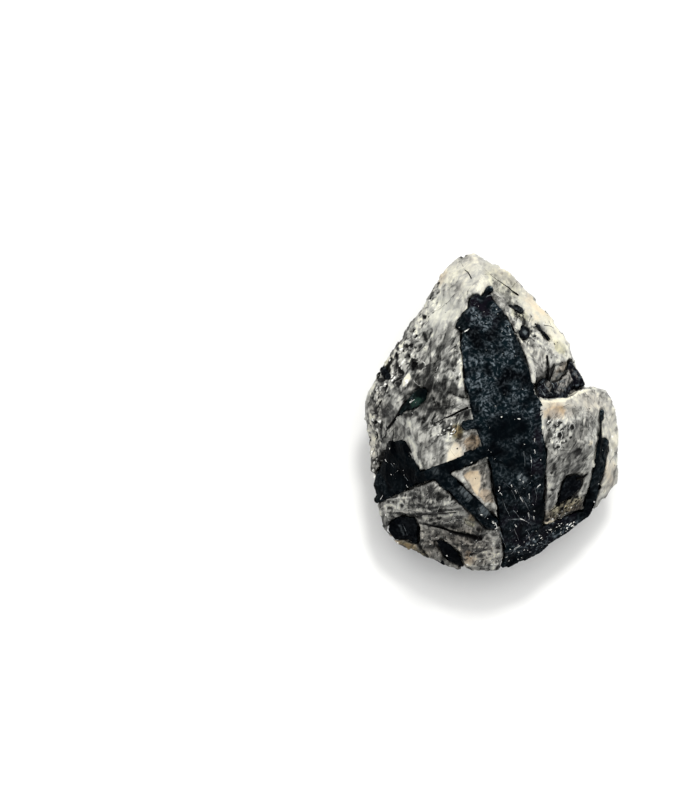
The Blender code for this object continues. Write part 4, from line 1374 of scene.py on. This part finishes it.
class QUARTZ_OT_shards(Operator):
    """Lays bright flakes and dark crumbs in the surface; the flakes on the black crystals stand for painted
    glints
    """

    bl_idname = "quartz_chunk.shards"
    bl_label = "Flakes and crumbs"

    def execute(self, context):
        needles = context.scene.quartz_chunk.needles
        tree = whole_tree()
        pale = varied_finish("quartz flake", (0.42, 0.42, 0.39), (0.92, 0.92, 0.87), 0.9)
        black = plain_finish("black crumb", (0.002, 0.002, 0.002), 0.3, 0.01)
        for name, fields, spots, slot, finish in (
            ("bright_flakes", FLAKE_AND_GLINT_FIELDS, FLAKES_AND_GLINTS, "cloudy_quartz", pale),
            ("dark_crumbs", CRUMB_FIELDS, (), "black_crystal", black),
        ):
            chance = random.Random(name)
            bm = bmesh.new()
            for *field, count, longest, turn in fields:
                for _ in range(count):
                    x, y = self.place_in(field, chance)
                    size = longest * chance.uniform(0.3, 1.0) ** 1.5
                    self.lay(bm, tree, x, y, size, turn + chance.gauss(0, 18), chance)
            for x, y, size in spots:
                self.lay(bm, tree, x, y, size, chance.uniform(0, 180), chance)
            for _ in range(needles.loose):
                self.lay_beside(bm, tree, chance)
            mesh = mesh_of(bm, name)
            finished(name, mesh, finish, slot)
            mesh.shade_flat()
        return {"FINISHED"}

    def place_in(self, field, chance):
        """A place in a turned oval, thicker towards its middle."""
        x, y, long, wide, turn = field
        angle, reach = chance.uniform(0, math.tau), math.sqrt(chance.random())
        aside, up = turned(long * reach * math.cos(angle), wide * reach * math.sin(angle), -turn)
        return x + aside, y + up

    def lay(self, bm, tree, x, y, size, turn, chance):
        """One shard on the front, if the front reaches this place."""
        hit, normal = hit_below(tree, x, y)
        if hit is not None and hit.z > SHARD_FOOT:
            way = Vector((math.cos(math.radians(turn)), math.sin(math.radians(turn)), 0))
            self.add_shard(bm, hit, normal, way, size * MM, chance)

    def lay_beside(self, bm, tree, chance):
        """One small shard anywhere but at the foot."""
        way = any_way(chance)
        way.z -= 0.3
        hit, normal = hit_from_outside(tree, way)
        if hit is not None and hit.z > LOOSE_FOOT:
            self.add_shard(bm, hit, normal, any_way(chance), chance.uniform(*LOOSE_SIZES) * MM, chance)

    def add_shard(self, bm, place, normal, way, size, chance):
        """A sharp flat splinter, half sunk in the surface."""
        along = (way - normal * way.dot(normal)).normalized()
        turn = Matrix((along, normal.cross(along), normal)).transposed().to_4x4()
        half_width = chance.uniform(*SHARD_HALF_WIDTHS)
        stretch = Matrix.Diagonal((size * 0.5, size * half_width, size * SHARD_THICKNESS, 1))
        shape = Matrix.Translation(place) @ turn @ stretch
        made = bmesh.ops.create_cone(
            bm, cap_ends=True, segments=5, radius1=1.0, radius2=0.4, depth=1.0, matrix=shape
        )
        for vert in made["verts"]:
            vert.co += Vector([chance.uniform(-SHARD_UNEVEN, SHARD_UNEVEN) * size for _ in range(3)])


class QUARTZ_OT_stage(Operator):
    """Sets the floor, the lights and the camera"""

    bl_idname = "quartz_chunk.stage"
    bl_label = "Stage"

    def execute(self, context):
        look = context.scene.quartz_chunk.stage
        self.add_floor(look)
        self.add_sun("key", 1.3, 10, (0.15, 0.78, 1.1), (1.0, 0.99, 0.965))
        self.add_sun("soft key", 2.1, 65, (0.15, 0.70, 1.1), (1.0, 0.99, 0.97))
        for name, turn in (("left", 160), ("right", 20), ("front left", 235), ("front right", 305)):
            bearing = math.radians(turn)
            way = (math.cos(bearing), math.sin(bearing), 0.85)
            self.add_sun(name + " fill", 0.50, 70, way, (0.97, 0.98, 1.0))
        world = bpy.data.worlds.new("pale room")
        world.use_nodes = True
        background = world.node_tree.nodes["Background"]
        background.inputs["Color"].default_value = (1, 1, 1, 1)
        background.inputs["Strength"].default_value = 0.12
        context.scene.world = world
        context.scene.view_settings.view_transform = "Standard"
        self.add_camera(context, look)
        return {"FINISHED"}

    def add_floor(self, look):
        bm = bmesh.new()
        bmesh.ops.create_grid(bm, x_segments=1, y_segments=1, size=1.5)
        mesh = mesh_of(bm, "floor")
        mesh.materials.append(plain_finish("pale floor", look.floor_colour, 0.7))
        floor = bpy.data.objects.new("floor", mesh)
        bpy.context.scene.collection.objects.link(floor)

    def add_sun(self, name, power, spread, way, shade):
        """A soft light from far off, in the direction that way points to."""
        lamp = bpy.data.lights.new(name, "SUN")
        lamp.energy = power
        lamp.angle = math.radians(spread)
        lamp.color = shade
        light = bpy.data.objects.new(name, lamp)
        light.location = Vector(way).normalized() * 0.6
        light.rotation_euler = Vector(way).to_track_quat("Z", "Y").to_euler()
        bpy.context.scene.collection.objects.link(light)

    def add_camera(self, context, look):
        """Straight above, so far to the side that the chunk stands where it does in the picture."""
        lens = bpy.data.cameras.new("camera")
        lens.sensor_fit = "HORIZONTAL"
        lens.sensor_width = 36.0
        lens.lens = lens.sensor_width * look.camera_distance / (PICTURE[0] * PIXEL)
        lens.clip_start = 0.01
        camera = bpy.data.objects.new("camera", lens)
        camera.location = (
            (PICTURE[0] / 2 - CHUNK_AT[0]) * PIXEL,
            (CHUNK_AT[1] - PICTURE[1] / 2) * PIXEL,
            OUTLINE_HEIGHT + look.camera_distance,
        )
        context.scene.collection.objects.link(camera)
        context.scene.camera = camera


class QUARTZ_PT_panel(Panel):
    """Lists the pieces in the sidebar"""

    bl_idname = "QUARTZ_PT_panel"
    bl_label = "Quartz chunk"
    bl_space_type = "VIEW_3D"
    bl_region_type = "UI"
    bl_category = "Quartz chunk"

    def draw(self, context):
        for part in ("quartz", "black", "needles", "stage"):
            box = self.layout.box()
            settings = getattr(context.scene.quartz_chunk, part)
            for name in settings.__annotations__:
                box.prop(settings, name)
        for operator in OPERATORS:
            self.layout.operator(operator.bl_idname)


OPERATORS = (
    QUARTZ_OT_stage,
    QUARTZ_OT_mass,
    QUARTZ_OT_blade,
    QUARTZ_OT_notch,
    QUARTZ_OT_small_crystals,
    QUARTZ_OT_needles,
    QUARTZ_OT_shards,
)
SETTINGS = (QuartzSettings, BlackSettings, NeedleSettings, StageSettings, ChunkSettings)
CLASSES = SETTINGS + OPERATORS + (QUARTZ_PT_panel,)


def register():
    for part in CLASSES:
        bpy.utils.register_class(part)
    bpy.types.Scene.quartz_chunk = PointerProperty(type=ChunkSettings)


def unregister():
    del bpy.types.Scene.quartz_chunk
    for part in reversed(CLASSES):
        bpy.utils.unregister_class(part)


def main():
    register()
    bpy.ops.quartz_chunk.stage()
    bpy.ops.quartz_chunk.mass()
    bpy.ops.quartz_chunk.blade()
    bpy.ops.quartz_chunk.notch()
    bpy.ops.quartz_chunk.small_crystals()
    bpy.ops.quartz_chunk.needles()
    bpy.ops.quartz_chunk.shards()


if __name__ == "__main__":
    main()
